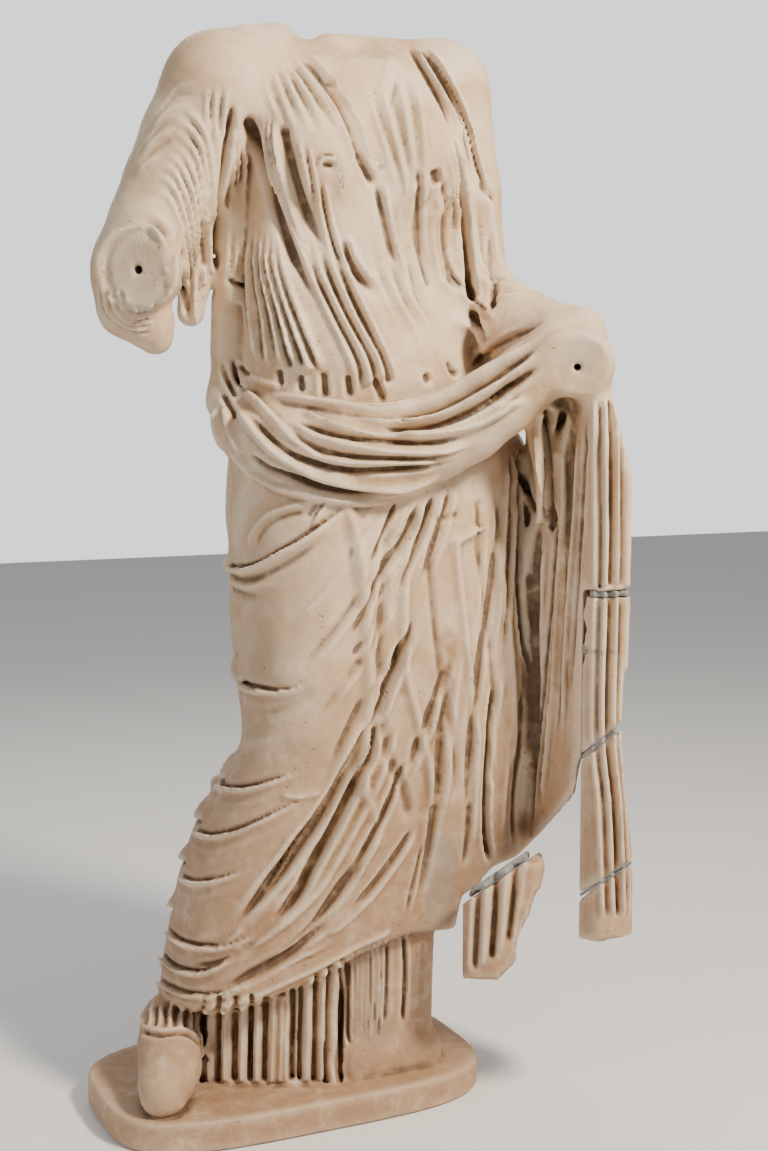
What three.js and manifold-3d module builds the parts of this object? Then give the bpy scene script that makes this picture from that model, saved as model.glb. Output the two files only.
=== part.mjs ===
// Over-life-size marble statue of a standing draped woman, without head, right forearm and left hand.
// The marble is one block from neck break to base; a fall of drapery under the left forearm and a piece of
// hem are broken off and set back in mortar, so they are separate solids.
// Millimetres, +Z up, the body faces -Y, and the origin is under the middle of the base.
import * as THREE from 'three';
import Module from 'manifold-3d';

const wasm = await Module();
wasm.setup();

// ---------------------------------------------------------------- driving dimensions
const BASE_HALF_WIDTH = 320;
const BASE_HALF_DEPTH = 185;
const BASE_HEIGHT = 50;
const BASE_CORNER_POWER = 3.6; // 2 would be an ellipse, a large power a rectangle
const DRAWING_TURN = THREE.MathUtils.degToRad(24.8); // from the body's front to the drawing's front
const EYE_ACROSS = 166; // the viewing point of the drawing
const EYE_DISTANCE = 2694;
const EYE_HEIGHT = 1160;
const JOINT_GAP = 0.3; // between a fragment, its mortar and the block
const FALL_JOINT_HEIGHT = 858; // where the broken fall starts
const MORTAR_BED = 11;
const CELL = 9.5; // size of the modelling grid
const STATUE_TRIANGLES = 7500;
const FALL_TRIANGLES = 1150;
const HEM_TRIANGLES = 330;

// ---------------------------------------------------------------- set-out
// Outlines and folds are drawn on an upright plane through the middle of the base, turned from the body's
// front and looked at from the viewing point. A drawn point is (across, up); depth is how far it lies
// behind the plane along its line of sight.
const TURN_COS = Math.cos(DRAWING_TURN);
const TURN_SIN = Math.sin(DRAWING_TURN);

function drawingToBody(x, y, z) {
  return [x * TURN_COS + y * TURN_SIN, -x * TURN_SIN + y * TURN_COS, z];
}

function bodyToDrawing(x, y, z) {
  return [x * TURN_COS - y * TURN_SIN, x * TURN_SIN + y * TURN_COS, z];
}

function setOut(across, up, depth) {
  const reach = (EYE_DISTANCE + depth) / EYE_DISTANCE;
  const x = EYE_ACROSS + (across - EYE_ACROSS) * reach;
  const z = EYE_HEIGHT + (up - EYE_HEIGHT) * reach;
  return drawingToBody(x, depth, z);
}

// A ball on the drawing: across, up, depth, radius.
function ball(across, up, depth, radius) {
  return [...setOut(across, up, depth), radius];
}

// ---------------------------------------------------------------- distance fields, negative inside
function smoothMin(a, b, blend) {
  const near = Math.max(blend - Math.abs(a - b), 0) / blend;
  return Math.min(a, b) - near * near * blend * 0.25;
}

function smoothMax(a, b, blend) {
  return -smoothMin(-a, -b, blend);
}

// A cone with round ends between two balls.
function coneDistance(x, y, z, from, to) {
  const ax = to[0] - from[0];
  const ay = to[1] - from[1];
  const az = to[2] - from[2];
  const px = x - from[0];
  const py = y - from[1];
  const pz = z - from[2];
  const along = (px * ax + py * ay + pz * az) / (ax * ax + ay * ay + az * az);
  const t = Math.min(Math.max(along, 0), 1);
  return Math.hypot(px - t * ax, py - t * ay, pz - t * az) - (from[3] + t * (to[3] - from[3]));
}

// A limb or strand: cones through a row of balls.
function limb(balls) {
  return (x, y, z) => {
    let distance = coneDistance(x, y, z, balls[0], balls[1]);
    for (let i = 1; i < balls.length - 1; i += 1) {
      distance = smoothMin(distance, coneDistance(x, y, z, balls[i], balls[i + 1]), 6);
    }
    return distance;
  };
}

function ellipsoid(centre, radii, turn = 0) {
  const c = Math.cos(turn);
  const s = Math.sin(turn);
  const least = Math.min(...radii);
  return (x, y, z) => {
    const dx = x - centre[0];
    const dy = y - centre[1];
    const u = (dx * c + dy * s) / radii[0];
    const v = (-dx * s + dy * c) / radii[1];
    const w = (z - centre[2]) / radii[2];
    return (Math.hypot(u, v, w) - 1) * least;
  };
}

// Smooth values between stations, without overshoot.
function stationCurve(heights, values) {
  const last = heights.length - 1;
  const rise = heights.slice(1).map((h, i) => (values[i + 1] - values[i]) / (h - heights[i]));
  const slope = heights.map((h, i) => {
    if (i === 0) {
      return rise[0];
    }
    if (i === last) {
      return rise[last - 1];
    }
    const product = rise[i - 1] * rise[i];
    return product > 0 ? (2 * product) / (rise[i - 1] + rise[i]) : 0;
  });
  return (height) => {
    const z = Math.min(Math.max(height, heights[0]), heights[last]);
    let i = 0;
    while (i < last - 1 && z >= heights[i + 1]) {
      i += 1;
    }
    const span = heights[i + 1] - heights[i];
    const t = (z - heights[i]) / span;
    const t2 = t * t;
    const t3 = t2 * t;
    const ends = (2 * t3 - 3 * t2 + 1) * values[i] + (3 * t2 - 2 * t3) * values[i + 1];
    return ends + (t3 - 2 * t2 + t) * span * slope[i] + (t3 - t2) * span * slope[i + 1];
  };
}

// A body of horizontal sections. A station is: height, centre x and y, how far the section reaches to the
// left, right, front and back, and its power (2 is an ellipse, higher is squarer).
function loft(stations, endBlend) {
  const heights = stations.map((station) => station[0]);
  const curves = [1, 2, 3, 4, 5, 6, 7].map((k) => stationCurve(heights, stations.map((s) => s[k])));
  const [centreX, centreY, left, right, front, back, power] = curves;
  const bottom = heights[0];
  const top = heights[heights.length - 1];
  return (x, y, z) => {
    const dx = x - centreX(z);
    const dy = y - centreY(z);
    const a = dx < 0 ? left(z) : right(z);
    const b = dy < 0 ? front(z) : back(z);
    const p = power(z);
    const level = (Math.abs(dx / a) ** p + Math.abs(dy / b) ** p) ** (1 / p);
    const radial = level < 0.05 ? -Math.min(a, b) : Math.hypot(dx, dy) * (1 - 1 / level);
    return smoothMax(smoothMax(radial, bottom - z, endBlend), z - top, endBlend);
  };
}

// The side of a plane through a point; positive on the side of its direction.
function plane(point, direction) {
  const length = Math.hypot(...direction);
  const [nx, ny, nz] = direction.map((value) => value / length);
  return (x, y, z) => (x - point[0]) * nx + (y - point[1]) * ny + (z - point[2]) * nz;
}

// ---------------------------------------------------------------- the body under the folds
const torsoLoft = loft([
  [960, 165, 0, 235, 240, 150, 150, 2.2],
  [1071, 160, 0, 225, 235, 150, 150, 2.2],
  [1200, 145, 0, 205, 225, 135, 140, 2.2],
  [1320, 135, 0, 195, 215, 125, 135, 2.2],
  [1420, 130, 0, 195, 205, 120, 130, 2.2],
  [1520, 125, 0, 190, 195, 120, 130, 2.3],
  [1610, 118, 0, 175, 180, 105, 120, 2.3],
  [1665, 120, 5, 140, 150, 85, 95, 2.2],
  [1712, 125, 10, 85, 110, 45, 70, 2.0],
], 40);
const neckRoot = [115, 20, 1640, 75];
const rightShoulder = ball(-92, 1635, -40, 90);
const leftShoulder = ball(250, 1632, 112, 80);
const shoulderBump = limb([ball(-45, 1690, -20, 45), ball(-10, 1702, 0, 38)]);
const rightBreast = ellipsoid([20, -85, 1530], [75, 62, 80]);
const leftBreast = ellipsoid([200, -85, 1530], [75, 62, 80]);
const belly = ellipsoid([120, -85, 1215], [110, 80, 95]);
const sideBundle = limb([ball(-84, 1310, 10, 26), ball(-85, 1230, 20, 27), ball(-82, 1150, 30, 30)]);
const sideFold = limb([ball(-60, 1600, -40, 28), ball(-70, 1450, -25, 24), ball(-80, 1320, -10, 20)]);
const neckBreak = ellipsoid(setOut(148, 1725, -20), [62, 70, 38], DRAWING_TURN);
const shoulderNotch = limb([ball(44, 1745, -90, 24), ball(46, 1738, 60, 26)]);

function torso(x, y, z) {
  let d = torsoLoft(x, y, z);
  d = smoothMin(d, coneDistance(x, y, z, rightShoulder, neckRoot), 50);
  d = smoothMin(d, coneDistance(x, y, z, leftShoulder, neckRoot), 50);
  d = smoothMin(d, shoulderBump(x, y, z), 30);
  d = smoothMin(d, rightBreast(x, y, z), 40);
  d = smoothMin(d, leftBreast(x, y, z), 40);
  d = smoothMin(d, belly(x, y, z), 60);
  d = smoothMin(d, sideBundle(x, y, z), 15);
  d = smoothMin(d, sideFold(x, y, z), 12);
  d = smoothMax(d, -neckBreak(x, y, z), 10);
  return smoothMax(d, -shoulderNotch(x, y, z), 8);
}

// The mantle's skirt and the bent leg under it, cut off along the slanting, broken hem.
const skirtLoft = loft([
  [150, -20, 0, 185, 260, 140, 130, 2.3],
  [240, 5, 0, 200, 262, 150, 145, 2.3],
  [325, 45, 0, 225, 400, 160, 150, 2.3],
  [410, 95, 0, 255, 390, 165, 155, 2.4],
  [495, 150, 0, 275, 350, 170, 160, 2.4],
  [604, 205, 0, 265, 300, 172, 165, 2.4],
  [745, 193, 0, 268, 310, 168, 165, 2.4],
  [909, 175, 0, 255, 305, 162, 160, 2.4],
  [1071, 165, 0, 232, 265, 155, 155, 2.3],
  [1120, 162, 5, 215, 240, 140, 145, 2.3],
], 45);
const bentLeg = limb([
  [60, -60, 1000, 112],
  [15, -95, 720, 92],
  [8, -95, 640, 86],
  [-85, -20, 330, 80],
  [-118, 20, 180, 66],
]);
const HEM = [ // across, up
  [-400, 150], [-235, 185], [-205, 152], [-170, 137], [-110, 134], [-80, 138], [-50, 150], [0, 168],
  [50, 190], [100, 220], [150, 246], [195, 264], [215, 270], [285, 276], [292, 330], [320, 352],
  [345, 382], [385, 400], [425, 440], [450, 470], [482, 512], [486, 560], [520, 600], [700, 640],
];
const LOWEST_HEM = 125;
const HEM_SLOPE = 0.85;

function hemHeight(across) {
  let i = 0;
  while (i < HEM.length - 2 && across > HEM[i + 1][0]) {
    i += 1;
  }
  const t = (across - HEM[i][0]) / (HEM[i + 1][0] - HEM[i][0]);
  return HEM[i][1] + Math.min(Math.max(t, 0), 1) * (HEM[i + 1][1] - HEM[i][1]);
}

function belowHem(x, y, z) {
  const [dx, dy] = bodyToDrawing(x, y, z);
  const reach = (EYE_DISTANCE + dy) / EYE_DISTANCE;
  const across = EYE_ACROSS + (dx - EYE_ACROSS) / reach;
  const up = EYE_HEIGHT + (z - EYE_HEIGHT) / reach;
  return Math.max(hemHeight(across) - up, LOWEST_HEM - z) * HEM_SLOPE;
}

function skirt(x, y, z) {
  const d = smoothMin(skirtLoft(x, y, z), bentLeg(x, y, z), 60);
  return smoothMax(d, belowHem(x, y, z), 8);
}

// The right arm in its sleeve, cut through below the elbow, with the sleeve's ends hanging.
const rightArm = limb([
  ball(-92, 1635, -40, 90),
  ball(-133, 1560, -50, 84),
  ball(-167, 1490, -60, 78),
  ball(-198, 1425, -75, 73),
  ball(-222, 1370, -85, 70),
]);
const sleeveEnd = limb([
  ball(-240, 1335, -90, 58),
  ball(-236, 1302, -92, 55),
  ball(-212, 1275, -85, 42),
  ball(-200, 1252, -80, 28),
]);
const armStub = limb([ball(-224, 1365, -85, 70), ball(-228, 1356, -190, 62)]);
const armCut = plane(setOut(-228, 1356, -172), drawingToBody(-0.16, -0.98, -0.06));
const sleeveTongue = limb([
  ball(-118, 1500, -20, 42),
  ball(-125, 1400, -20, 30),
  ball(-138, 1330, -15, 24),
  ball(-143, 1290, -10, 22),
]);
const sleeveTip = limb([ball(-108, 1420, -10, 20), ball(-106, 1347, -5, 17)]);

function rightSleeve(x, y, z) {
  const stub = smoothMax(armStub(x, y, z), armCut(x, y, z), 4);
  const tongue = Math.min(sleeveTongue(x, y, z), sleeveTip(x, y, z));
  let d = smoothMin(rightArm(x, y, z), sleeveEnd(x, y, z), 18);
  d = smoothMin(d, stub, 14);
  return smoothMin(d, tongue, 10);
}

// The left arm under the mantle, its forearm held forward and broken off at the wrist.
const leftUpperArm = limb([
  ball(252, 1632, 112, 80),
  ball(262, 1560, 112, 80),
  ball(276, 1480, 112, 78),
  ball(284, 1400, 110, 74),
  ball(290, 1340, 105, 72),
]);
const leftForearm = limb([
  ball(290, 1340, 105, 72),
  ball(330, 1290, 85, 66),
  ball(400, 1262, 20, 60),
  ball(455, 1240, -60, 56),
  ball(480, 1210, -125, 54),
]);
const forearmCloth = limb([ball(360, 1255, 0, 45), ball(450, 1262, -70, 36), ball(484, 1264, -100, 34)]);
const wristBreak = plane(setOut(480, 1210, -152), drawingToBody(-0.1, -0.98, -0.12));

function leftArm(x, y, z) {
  const d = smoothMin(leftUpperArm(x, y, z), leftForearm(x, y, z), 20);
  return smoothMin(d, forearmCloth(x, y, z), 20);
}

// The fall of drapery from the left forearm, whole; its lower front is broken into fragments.
const fall = loft([
  [240, 420, -205, 36, 62, 140, 70, 4.0],
  [400, 420, -205, 36, 60, 140, 75, 4.0],
  [560, 418, -210, 34, 40, 132, 100, 4.0],
  [640, 417, -213, 32, 31, 128, 105, 4.5],
  [860, 417, -215, 32, 46, 126, 110, 4.5],
  [1000, 416, -215, 32, 46, 126, 112, 4.5],
  [1075, 414, -215, 32, 36, 126, 112, 4.5],
  [1130, 410, -212, 34, 24, 124, 110, 4.0],
  [1215, 395, -200, 40, 30, 110, 100, 3.0],
], 15);

// The rolled edge of the mantle across the hips.
const roll = limb([
  ball(-88, 1165, 50, 26),
  ball(-86, 1150, 20, 32),
  ball(-58, 1112, -25, 46),
  ball(-25, 1085, -68, 58),
  ball(25, 1070, -92, 62),
  ball(100, 1063, -103, 66),
  ball(150, 1062, -103, 67),
  ball(200, 1072, -93, 66),
  ball(250, 1090, -84, 64),
  ball(300, 1115, -80, 62),
  ball(350, 1150, -88, 58),
  ball(400, 1190, -98, 52),
  ball(445, 1225, -108, 48),
]);

// Below the hem: the undergarment's pleats, a plain support at its side, the foot and the base.
const underskirt = loft([
  [40, -22, 5, 120, 118, 112, 120, 3.5],
  [150, -22, 5, 118, 118, 110, 120, 3.5],
  [340, -10, 5, 130, 150, 115, 120, 3.0],
], 10);
const support = loft([
  [40, 150, -35, 98, 98, 92, 90, 5.0],
  [75, 150, -35, 94, 96, 88, 90, 5.0],
  [120, 148, -35, 84, 84, 78, 90, 5.0],
  [330, 150, -35, 86, 88, 80, 90, 5.0],
], 6);
const foot = limb([
  [-190, 20, 140, 50],
  [-208, -20, 118, 50],
  [-220, -62, 98, 49],
  [-238, -98, 88, 43],
  [-247, -115, 80, 37],
]);

// The base reaches below its underside, where it is trimmed flat.
function base(x, y, z) {
  const p = BASE_CORNER_POWER;
  const level = (Math.abs(x / BASE_HALF_WIDTH) ** p + Math.abs(y / BASE_HALF_DEPTH) ** p) ** (1 / p);
  return smoothMax((level - 1) * BASE_HALF_DEPTH, Math.abs(z) - BASE_HEIGHT, 6);
}

function statueForm(x, y, z) {
  let d = torso(x, y, z);
  d = smoothMin(d, skirt(x, y, z), 50);
  d = smoothMin(d, rightSleeve(x, y, z), 12);
  const hangingFall = smoothMax(fall(x, y, z), belowHem(x, y, z), 6);
  d = smoothMin(d, smoothMin(leftArm(x, y, z), hangingFall, 25), 25);
  d = smoothMin(d, roll(x, y, z), 22);
  if (z > 1150 && x > 250) {
    d = smoothMax(d, wristBreak(x, y, z), 4);
  }
  d = Math.min(d, underskirt(...bodyToDrawing(x, y, z)));
  d = smoothMin(d, support(x, y, z), 6);
  d = smoothMin(d, foot(x, y, z), 10);
  return Math.min(d, base(x, y, z));
}

// The broken piece of hem that hangs beside the support.
const hemPieceLoft = loft([
  [190, 322, -70, 30, 32, 45, 45, 4.0],
  [262, 337, -68, 46, 44, 50, 48, 4.0],
  [300, 349, -66, 58, 48, 52, 50, 4.0],
  [352, 366, -64, 74, 54, 54, 52, 4.0],
  [420, 384, -62, 70, 40, 54, 52, 4.0],
], 10);

function hemPiece(x, y, z) {
  return hemPieceLoft(...bodyToDrawing(x, y, z));
}

// ---------------------------------------------------------------- the carved folds
// A fold is a line on the drawing, carried to the form along the lines of sight, and a cross-section:
// a rounded ridge, a rounded groove, a sharp crest or a steep-sided cut.
const PROFILES = {
  ridge: (u) => 0.5 * (1 + Math.cos(Math.PI * u)),
  crest: (u) => (1 - u) ** 1.35,
  groove: (u) => -0.5 * (1 + Math.cos(Math.PI * u)),
  cut: (u) => -((1 - u ** 3) ** 0.8),
};

function fold(kind, halfWidth, height, path, ends = [0.15, 0.25], turn = 0) {
  return { profile: PROFILES[kind], halfWidth, height, path, ends, turn };
}

// The same line moved across and up, once for each step.
function stepped(steps, makeFold) {
  return steps.map((step, index) => makeFold(step, index));
}

const neckline = [
  fold('groove', 11, 9, [[27, 1693], [59, 1663], [91, 1618], [113, 1580], [126, 1543], [145, 1506]]),
  fold('crest', 12, 10, [[38, 1702], [74, 1670], [106, 1624], [128, 1584], [140, 1547], [157, 1510]]),
  fold('groove', 10, 9, [[140, 1511], [161, 1447], [177, 1388], [188, 1361]]),
  fold('groove', 10, 10, [[202, 1709], [242, 1645], [274, 1575]]),
  fold('crest', 10, 9, [[212, 1706], [252, 1645], [286, 1570]]),
  fold('groove', 10, 10, [[224, 1700], [269, 1629], [298, 1540], [312, 1495], [338, 1458]]),
];
const torsoFolds = [
  fold('cut', 11, 30, [[-73, 1630], [-80, 1548], [-88, 1511], [-99, 1458], [-101, 1365]]),
  fold('groove', 10, 18, [[-121, 1440], [-120, 1390], [-118, 1335]]),
  fold('groove', 10, 18, [[-153, 1410], [-154, 1340], [-150, 1265]]),
  fold('groove', 17, 17, [[-48, 1595], [-43, 1565], [-19, 1490], [11, 1404], [48, 1318]]),
  fold('groove', 17, 15, [[-5, 1575], [0, 1543], [11, 1522], [38, 1460], [54, 1436]]),
  fold('crest', 12, 9, [[-26, 1610], [-14, 1520], [14, 1440], [45, 1350]]),
  fold('groove', 11, 10, [[86, 1600], [89, 1511], [86, 1479], [91, 1440]]),
  fold('groove', 12, 10, [[51, 1510], [70, 1404], [91, 1361], [150, 1281], [183, 1190]]),
  fold('crest', 11, 9, [[64, 1510], [84, 1404], [105, 1361], [164, 1283], [190, 1215]]),
  fold('groove', 13, 10, [[97, 1410], [108, 1377], [129, 1345], [156, 1318]]),
  fold('groove', 10, 8, [[212, 1527], [216, 1463], [226, 1350]]),
  fold('groove', 12, 11, [[245, 1518], [260, 1470], [266, 1361]]),
  fold('cut', 12, 28, [[278, 1575], [287, 1511], [290, 1430], [300, 1340], [306, 1303]]),
];
const bellyFolds = [
  ...stepped([0, 32, 64], (step) => fold('crest', 13, 11, [
    [-48 + step, 1404 - step / 3],
    [-27 + step * 1.05, 1297],
    [5 + step * 1.05, 1172],
  ])),
  ...stepped([0, 32, 60], (step) => fold('groove', 11, 10, [
    [-34 + step, 1400 - step / 3],
    [-12 + step * 1.05, 1297],
    [20 + step * 1.05, 1172],
  ])),
  fold('groove', 11, 10, [[91, 1281], [113, 1244], [155, 1185], [166, 1148]]),
];
const sleeveFolds = [
  fold('groove', 11, 9, [[-180, 1605], [-145, 1602], [-124, 1583], [-105, 1522]]),
  fold('groove', 11, 9, [[-180, 1557], [-150, 1551], [-129, 1532], [-112, 1458]]),
  fold('groove', 11, 9, [[-202, 1487], [-172, 1474], [-156, 1452], [-140, 1394]]),
  fold('crest', 11, 8, [[-178, 1580], [-148, 1574], [-126, 1556], [-110, 1490]]),
  fold('crest', 11, 8, [[-195, 1516], [-162, 1510], [-142, 1486], [-126, 1420]]),
  fold('groove', 10, 9, [[-292, 1325], [-280, 1285], [-245, 1262], [-205, 1266]]),
];
const rollFolds = [
  fold('ridge', 14, 11, [[-95, 1105], [-50, 1042], [0, 1012], [100, 992], [180, 990]]),
  fold('groove', 12, 17, [[-60, 1070], [-25, 1042], [15, 1027], [60, 1010], [150, 1002], [240, 1010]]),
  fold('ridge', 16, 15, [[-75, 1140], [-50, 1110], [0, 1060], [50, 1033], [150, 1012], [240, 1020], [278, 1032]]),
  fold('groove', 11, 14, [[-55, 1130], [-20, 1090], [50, 1050], [120, 1036], [230, 1042], [290, 1055]]),
  fold('ridge', 15, 14, [[0, 1120], [50, 1090], [150, 1068], [250, 1065], [322, 1085]]),
  fold('groove', 10, 11, [[20, 1120], [60, 1102], [150, 1088], [250, 1084], [310, 1092]]),
  fold('ridge', 11, 11, [[170, 1098], [270, 1098], [320, 1112], [410, 1168]]),
  fold('cut', 11, 22, [[160, 1104], [250, 1112], [300, 1130], [400, 1192], [425, 1210]]),
  fold('ridge', 10, 11, [[110, 1122], [200, 1114], [250, 1124], [350, 1178], [430, 1232]]),
  fold('cut', 11, 22, [[185, 1128], [230, 1134], [330, 1184], [420, 1246]]),
  fold('ridge', 13, 12, [[-20, 1160], [50, 1148], [150, 1132], [250, 1154], [350, 1212], [440, 1266]]),
];

// Crescents of cloth drawn tight over the bent leg; each is a crest over a hollow.
const crescents = [
  [[-100, 889], [-70, 876], [-17, 894], [64, 929], [106, 945]],
  [[-99, 706], [-80, 689], [-33, 677], [20, 680]],
  [[-124, 530], [-107, 520], [-58, 517], [2, 532]],
  [[-160, 455], [-125, 436], [-80, 446], [-45, 458]],
  [[-182, 378], [-152, 357], [-105, 362]],
  [[-197, 286], [-176, 252], [-149, 242], [-110, 245]],
  [[-216, 225], [-205, 197], [-150, 172], [-70, 200]],
];
const legFolds = crescents.flatMap((path) => [
  fold('crest', 14, 14, path, [0.02, 0.45]),
  fold('groove', 14, 9, path.map(([across, up]) => [across, up - 15]), [0.02, 0.45]),
]);
const diagonalFolds = [
  fold('cut', 13, 30, [[196, 755], [156, 672], [116, 581], [67, 490], [4, 389], [-58, 287], [-89, 250]]),
  fold('ridge', 11, 10, [[150, 600], [94, 490], [54, 426], [-13, 324]]),
  fold('cut', 11, 24, [[147, 572], [116, 508], [54, 403], [4, 324], [-22, 296]]),
  fold('cut', 12, 22, [[268, 725], [205, 581], [143, 435], [76, 324], [13, 255], [-58, 194], [-103, 171]]),
  fold('groove', 15, 9, [[219, 444], [165, 361], [103, 292], [71, 269]]),
  fold('groove', 15, 10, [[-5, 300], [-40, 262], [-120, 210]]),
  fold('cut', 11, 20, [[208, 975], [181, 913], [128, 828], [70, 762]]),
  fold('cut', 10, 18, [[181, 995], [168, 950], [120, 860]]),
  fold('crest', 14, 12, [[185, 750], [145, 650], [98, 550], [70, 508], [30, 500]]),
  fold('crest', 12, 8, [[152, 990], [85, 880], [40, 830]]),
  fold('crest', 12, 8, [[170, 830], [90, 700], [50, 640]]),
  fold('groove', 20, 12, [[277, 752], [259, 649], [237, 422], [205, 290]]),
  fold('groove', 11, 12, [[246, 990], [216, 860], [205, 850]]),
  fold('groove', 10, 9, [[285, 1010], [270, 930], [250, 860]]),
];
const hangingPleats = [
  fold('cut', 10, 24, [[370, 1081], [380, 985], [383, 874], [389, 774], [412, 678]]),
  fold('groove', 10, 14, [[372, 1078], [398, 993], [417, 957]]),
  fold('cut', 12, 28, [[429, 1130], [429, 1041], [431, 974], [429, 937]]),
  fold('groove', 11, 12, [[352, 1070], [350, 900], [339, 837], [326, 685]]),
  fold('groove', 10, 10, [[321, 800], [317, 744], [306, 659]]),
  fold('cut', 10, 24, [[345, 692], [338, 551], [334, 495], [338, 439], [356, 380]]),
  fold('groove', 10, 12, [[392, 690], [385, 540], [381, 402]]),
  fold('groove', 11, 13, [[429, 651], [418, 588], [410, 454]]),
  ...stepped([300, 320, 366, 400], (across) => fold('crest', 11, 8, [
    [across + 5, 980],
    [across + 2, 860],
    [across, 740],
  ])),
  ...stepped([320, 362, 402, 437], (across, index) => fold('ridge', 12, 9, [
    [across, 650],
    [across - 6, 420 + index * 30],
  ])),
];
const fallFolds = [
  fold('groove', 11, 9, [[449, 1120], [450, 900], [446, 560]]),
  fold('crest', 11, 9, [[478, 1120], [468, 880], [462, 700]]),
  fold('cut', 9, 14, [[490, 1140], [492, 1050], [484, 900]]),
  ...stepped([516, 538], (across) => fold('groove', 10, 11, [
    [across, 1140],
    [across + 2, 1000],
    [across + 1, 620],
    [across + 14, 480],
    [across + 24, 290],
  ], [0.05, 0.02])),
];
const underskirtFolds = [
  ...stepped([-132, -105, -82, -52, -28, 12, 38, 62, 86], (across) => fold('groove', 10, 15, [
    [across, 170 + Math.max(across, 0) * 0.7],
    [across - 2, 8],
  ], [0.02, 0.02])),
  fold('groove', 10, 10, [[120, 235], [120, 85]], [0.02, 0.1]),
  fold('groove', 10, 9, [[148, 245], [148, 85]], [0.02, 0.1]),
  fold('groove', 10, 12, [[200, 262], [199, 110]], [0.02, 0.1]),
];

// The back is plainer: the mantle crosses it from the left shoulder to the right hip.
const BACK = Math.PI; // the drawing turned right round
const backFolds = [
  ...stepped([0, 1, 2, 3, 4], (step) => fold('ridge', 17, 12, [
    [-300 + step * 36, 1600 - step * 50],
    [-180 + step * 34, 1400 - step * 50],
    [-30 + step * 26, 1215 - step * 30],
    [80, 1150 - step * 34],
  ], [0.1, 0.1], BACK)),
  ...stepped([-330, -270, -205, -140, -75, -10], (across, index) => fold('groove', 17, 13, [
    [across, 960 - index * 25],
    [across + 25, 640],
    [across + 75, 300],
  ], [0.2, 0.1], BACK)),
];

const statueFolds = [
  ...neckline, ...torsoFolds, ...bellyFolds, ...sleeveFolds, ...rollFolds, ...legFolds, ...diagonalFolds,
  ...hangingPleats, ...fallFolds, ...underskirtFolds, ...backFolds,
];
const hemPieceFolds = [
  fold('groove', 12, 12, [[328, 350], [322, 260], [316, 200]], [0.02, 0.02]),
  fold('groove', 12, 12, [[368, 360], [356, 290], [345, 240]], [0.02, 0.2]),
];

const FOLD_STEP = 12;

// Points along a smooth curve through the drawn ones.
function smoothPath(path) {
  if (path.length === 2) {
    const count = Math.ceil(Math.hypot(path[1][0] - path[0][0], path[1][1] - path[0][1]) / FOLD_STEP);
    return Array.from({ length: count + 1 }, (_, i) => path[0].map((v, k) => v + ((path[1][k] - v) * i) / count));
  }
  const curve = new THREE.SplineCurve(path.map(([across, up]) => new THREE.Vector2(across, up)));
  return curve.getSpacedPoints(Math.ceil(curve.getLength() / FOLD_STEP)).map((p) => [p.x, p.y]);
}

// Where the line of sight through a drawn point meets the form.
function carry([across, up], turn, form) {
  const [c, s] = [Math.cos(turn), Math.sin(turn)];
  const eyeAcross = turn === 0 ? EYE_ACROSS : 0;
  for (let depth = -420; depth < 420;) {
    const reach = (EYE_DISTANCE + depth) / EYE_DISTANCE;
    const x = eyeAcross + (across - eyeAcross) * reach;
    const z = EYE_HEIGHT + (up - EYE_HEIGHT) * reach;
    const point = drawingToBody(x * c - depth * s, x * s + depth * c, z);
    const distance = form(...point);
    if (distance < 1) {
      return point;
    }
    depth += Math.max(distance * 0.8, 1);
  }
  return null;
}

// Moves each vertex along its normal by the highest ridge and the deepest groove that reach it.
function pressFolds(vertices, normals, folds, form) {
  const raised = new Float64Array(vertices.length);
  const sunk = new Float64Array(vertices.length);
  for (const { profile, halfWidth, height, path, ends, turn } of folds) {
    const line = smoothPath(path).map((point) => carry(point, turn, form)).filter(Boolean);
    const steps = line.slice(1).map((p, i) => Math.hypot(...p.map((v, k) => v - line[i][k])));
    const total = steps.reduce((sum, step) => sum + step, 0);
    const box = new THREE.Box3().setFromPoints(line.map((p) => new THREE.Vector3(...p)));
    box.expandByScalar(halfWidth);
    vertices.forEach((v, index) => {
      if (v[0] < box.min.x || v[1] < box.min.y || v[2] < box.min.z) {
        return;
      }
      if (v[0] > box.max.x || v[1] > box.max.y || v[2] > box.max.z) {
        return;
      }
      let least = Infinity;
      let place = 0;
      let passed = 0;
      steps.forEach((step, i) => {
        if (step > 0.01 && step < 60) {
          const d = line[i + 1].map((value, k) => value - line[i][k]);
          const q = v.map((value, k) => value - line[i][k]);
          const along = (q[0] * d[0] + q[1] * d[1] + q[2] * d[2]) / (step * step);
          const t = Math.min(Math.max(along, 0), 1);
          const r = q.map((value, k) => value - t * d[k]);
          const n = normals[index];
          const off = r[0] * n[0] + r[1] * n[1] + r[2] * n[2];
          const squared = r[0] * r[0] + r[1] * r[1] + r[2] * r[2] - 0.75 * off * off;
          if (squared < least) {
            least = squared;
            place = (passed + t * step) / total;
          }
        }
        passed += step;
      });
      const u = Math.sqrt(Math.max(least, 0)) / halfWidth;
      if (u < 1) {
        const taper = Math.min(place / ends[0], (1 - place) / ends[1], 1);
        const move = height * Math.sqrt(Math.max(taper, 0)) * profile(u);
        raised[index] = Math.max(raised[index], move);
        sunk[index] = Math.min(sunk[index], move);
      }
    });
  }
  return vertices.map((v, i) => v.map((value, k) => value + normals[i][k] * (raised[i] + sunk[i])));
}

// ---------------------------------------------------------------- from distance field to closed mesh
const BLOCK = 6; // grid cells along the side of a block that is skipped when it is far from the surface

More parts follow.
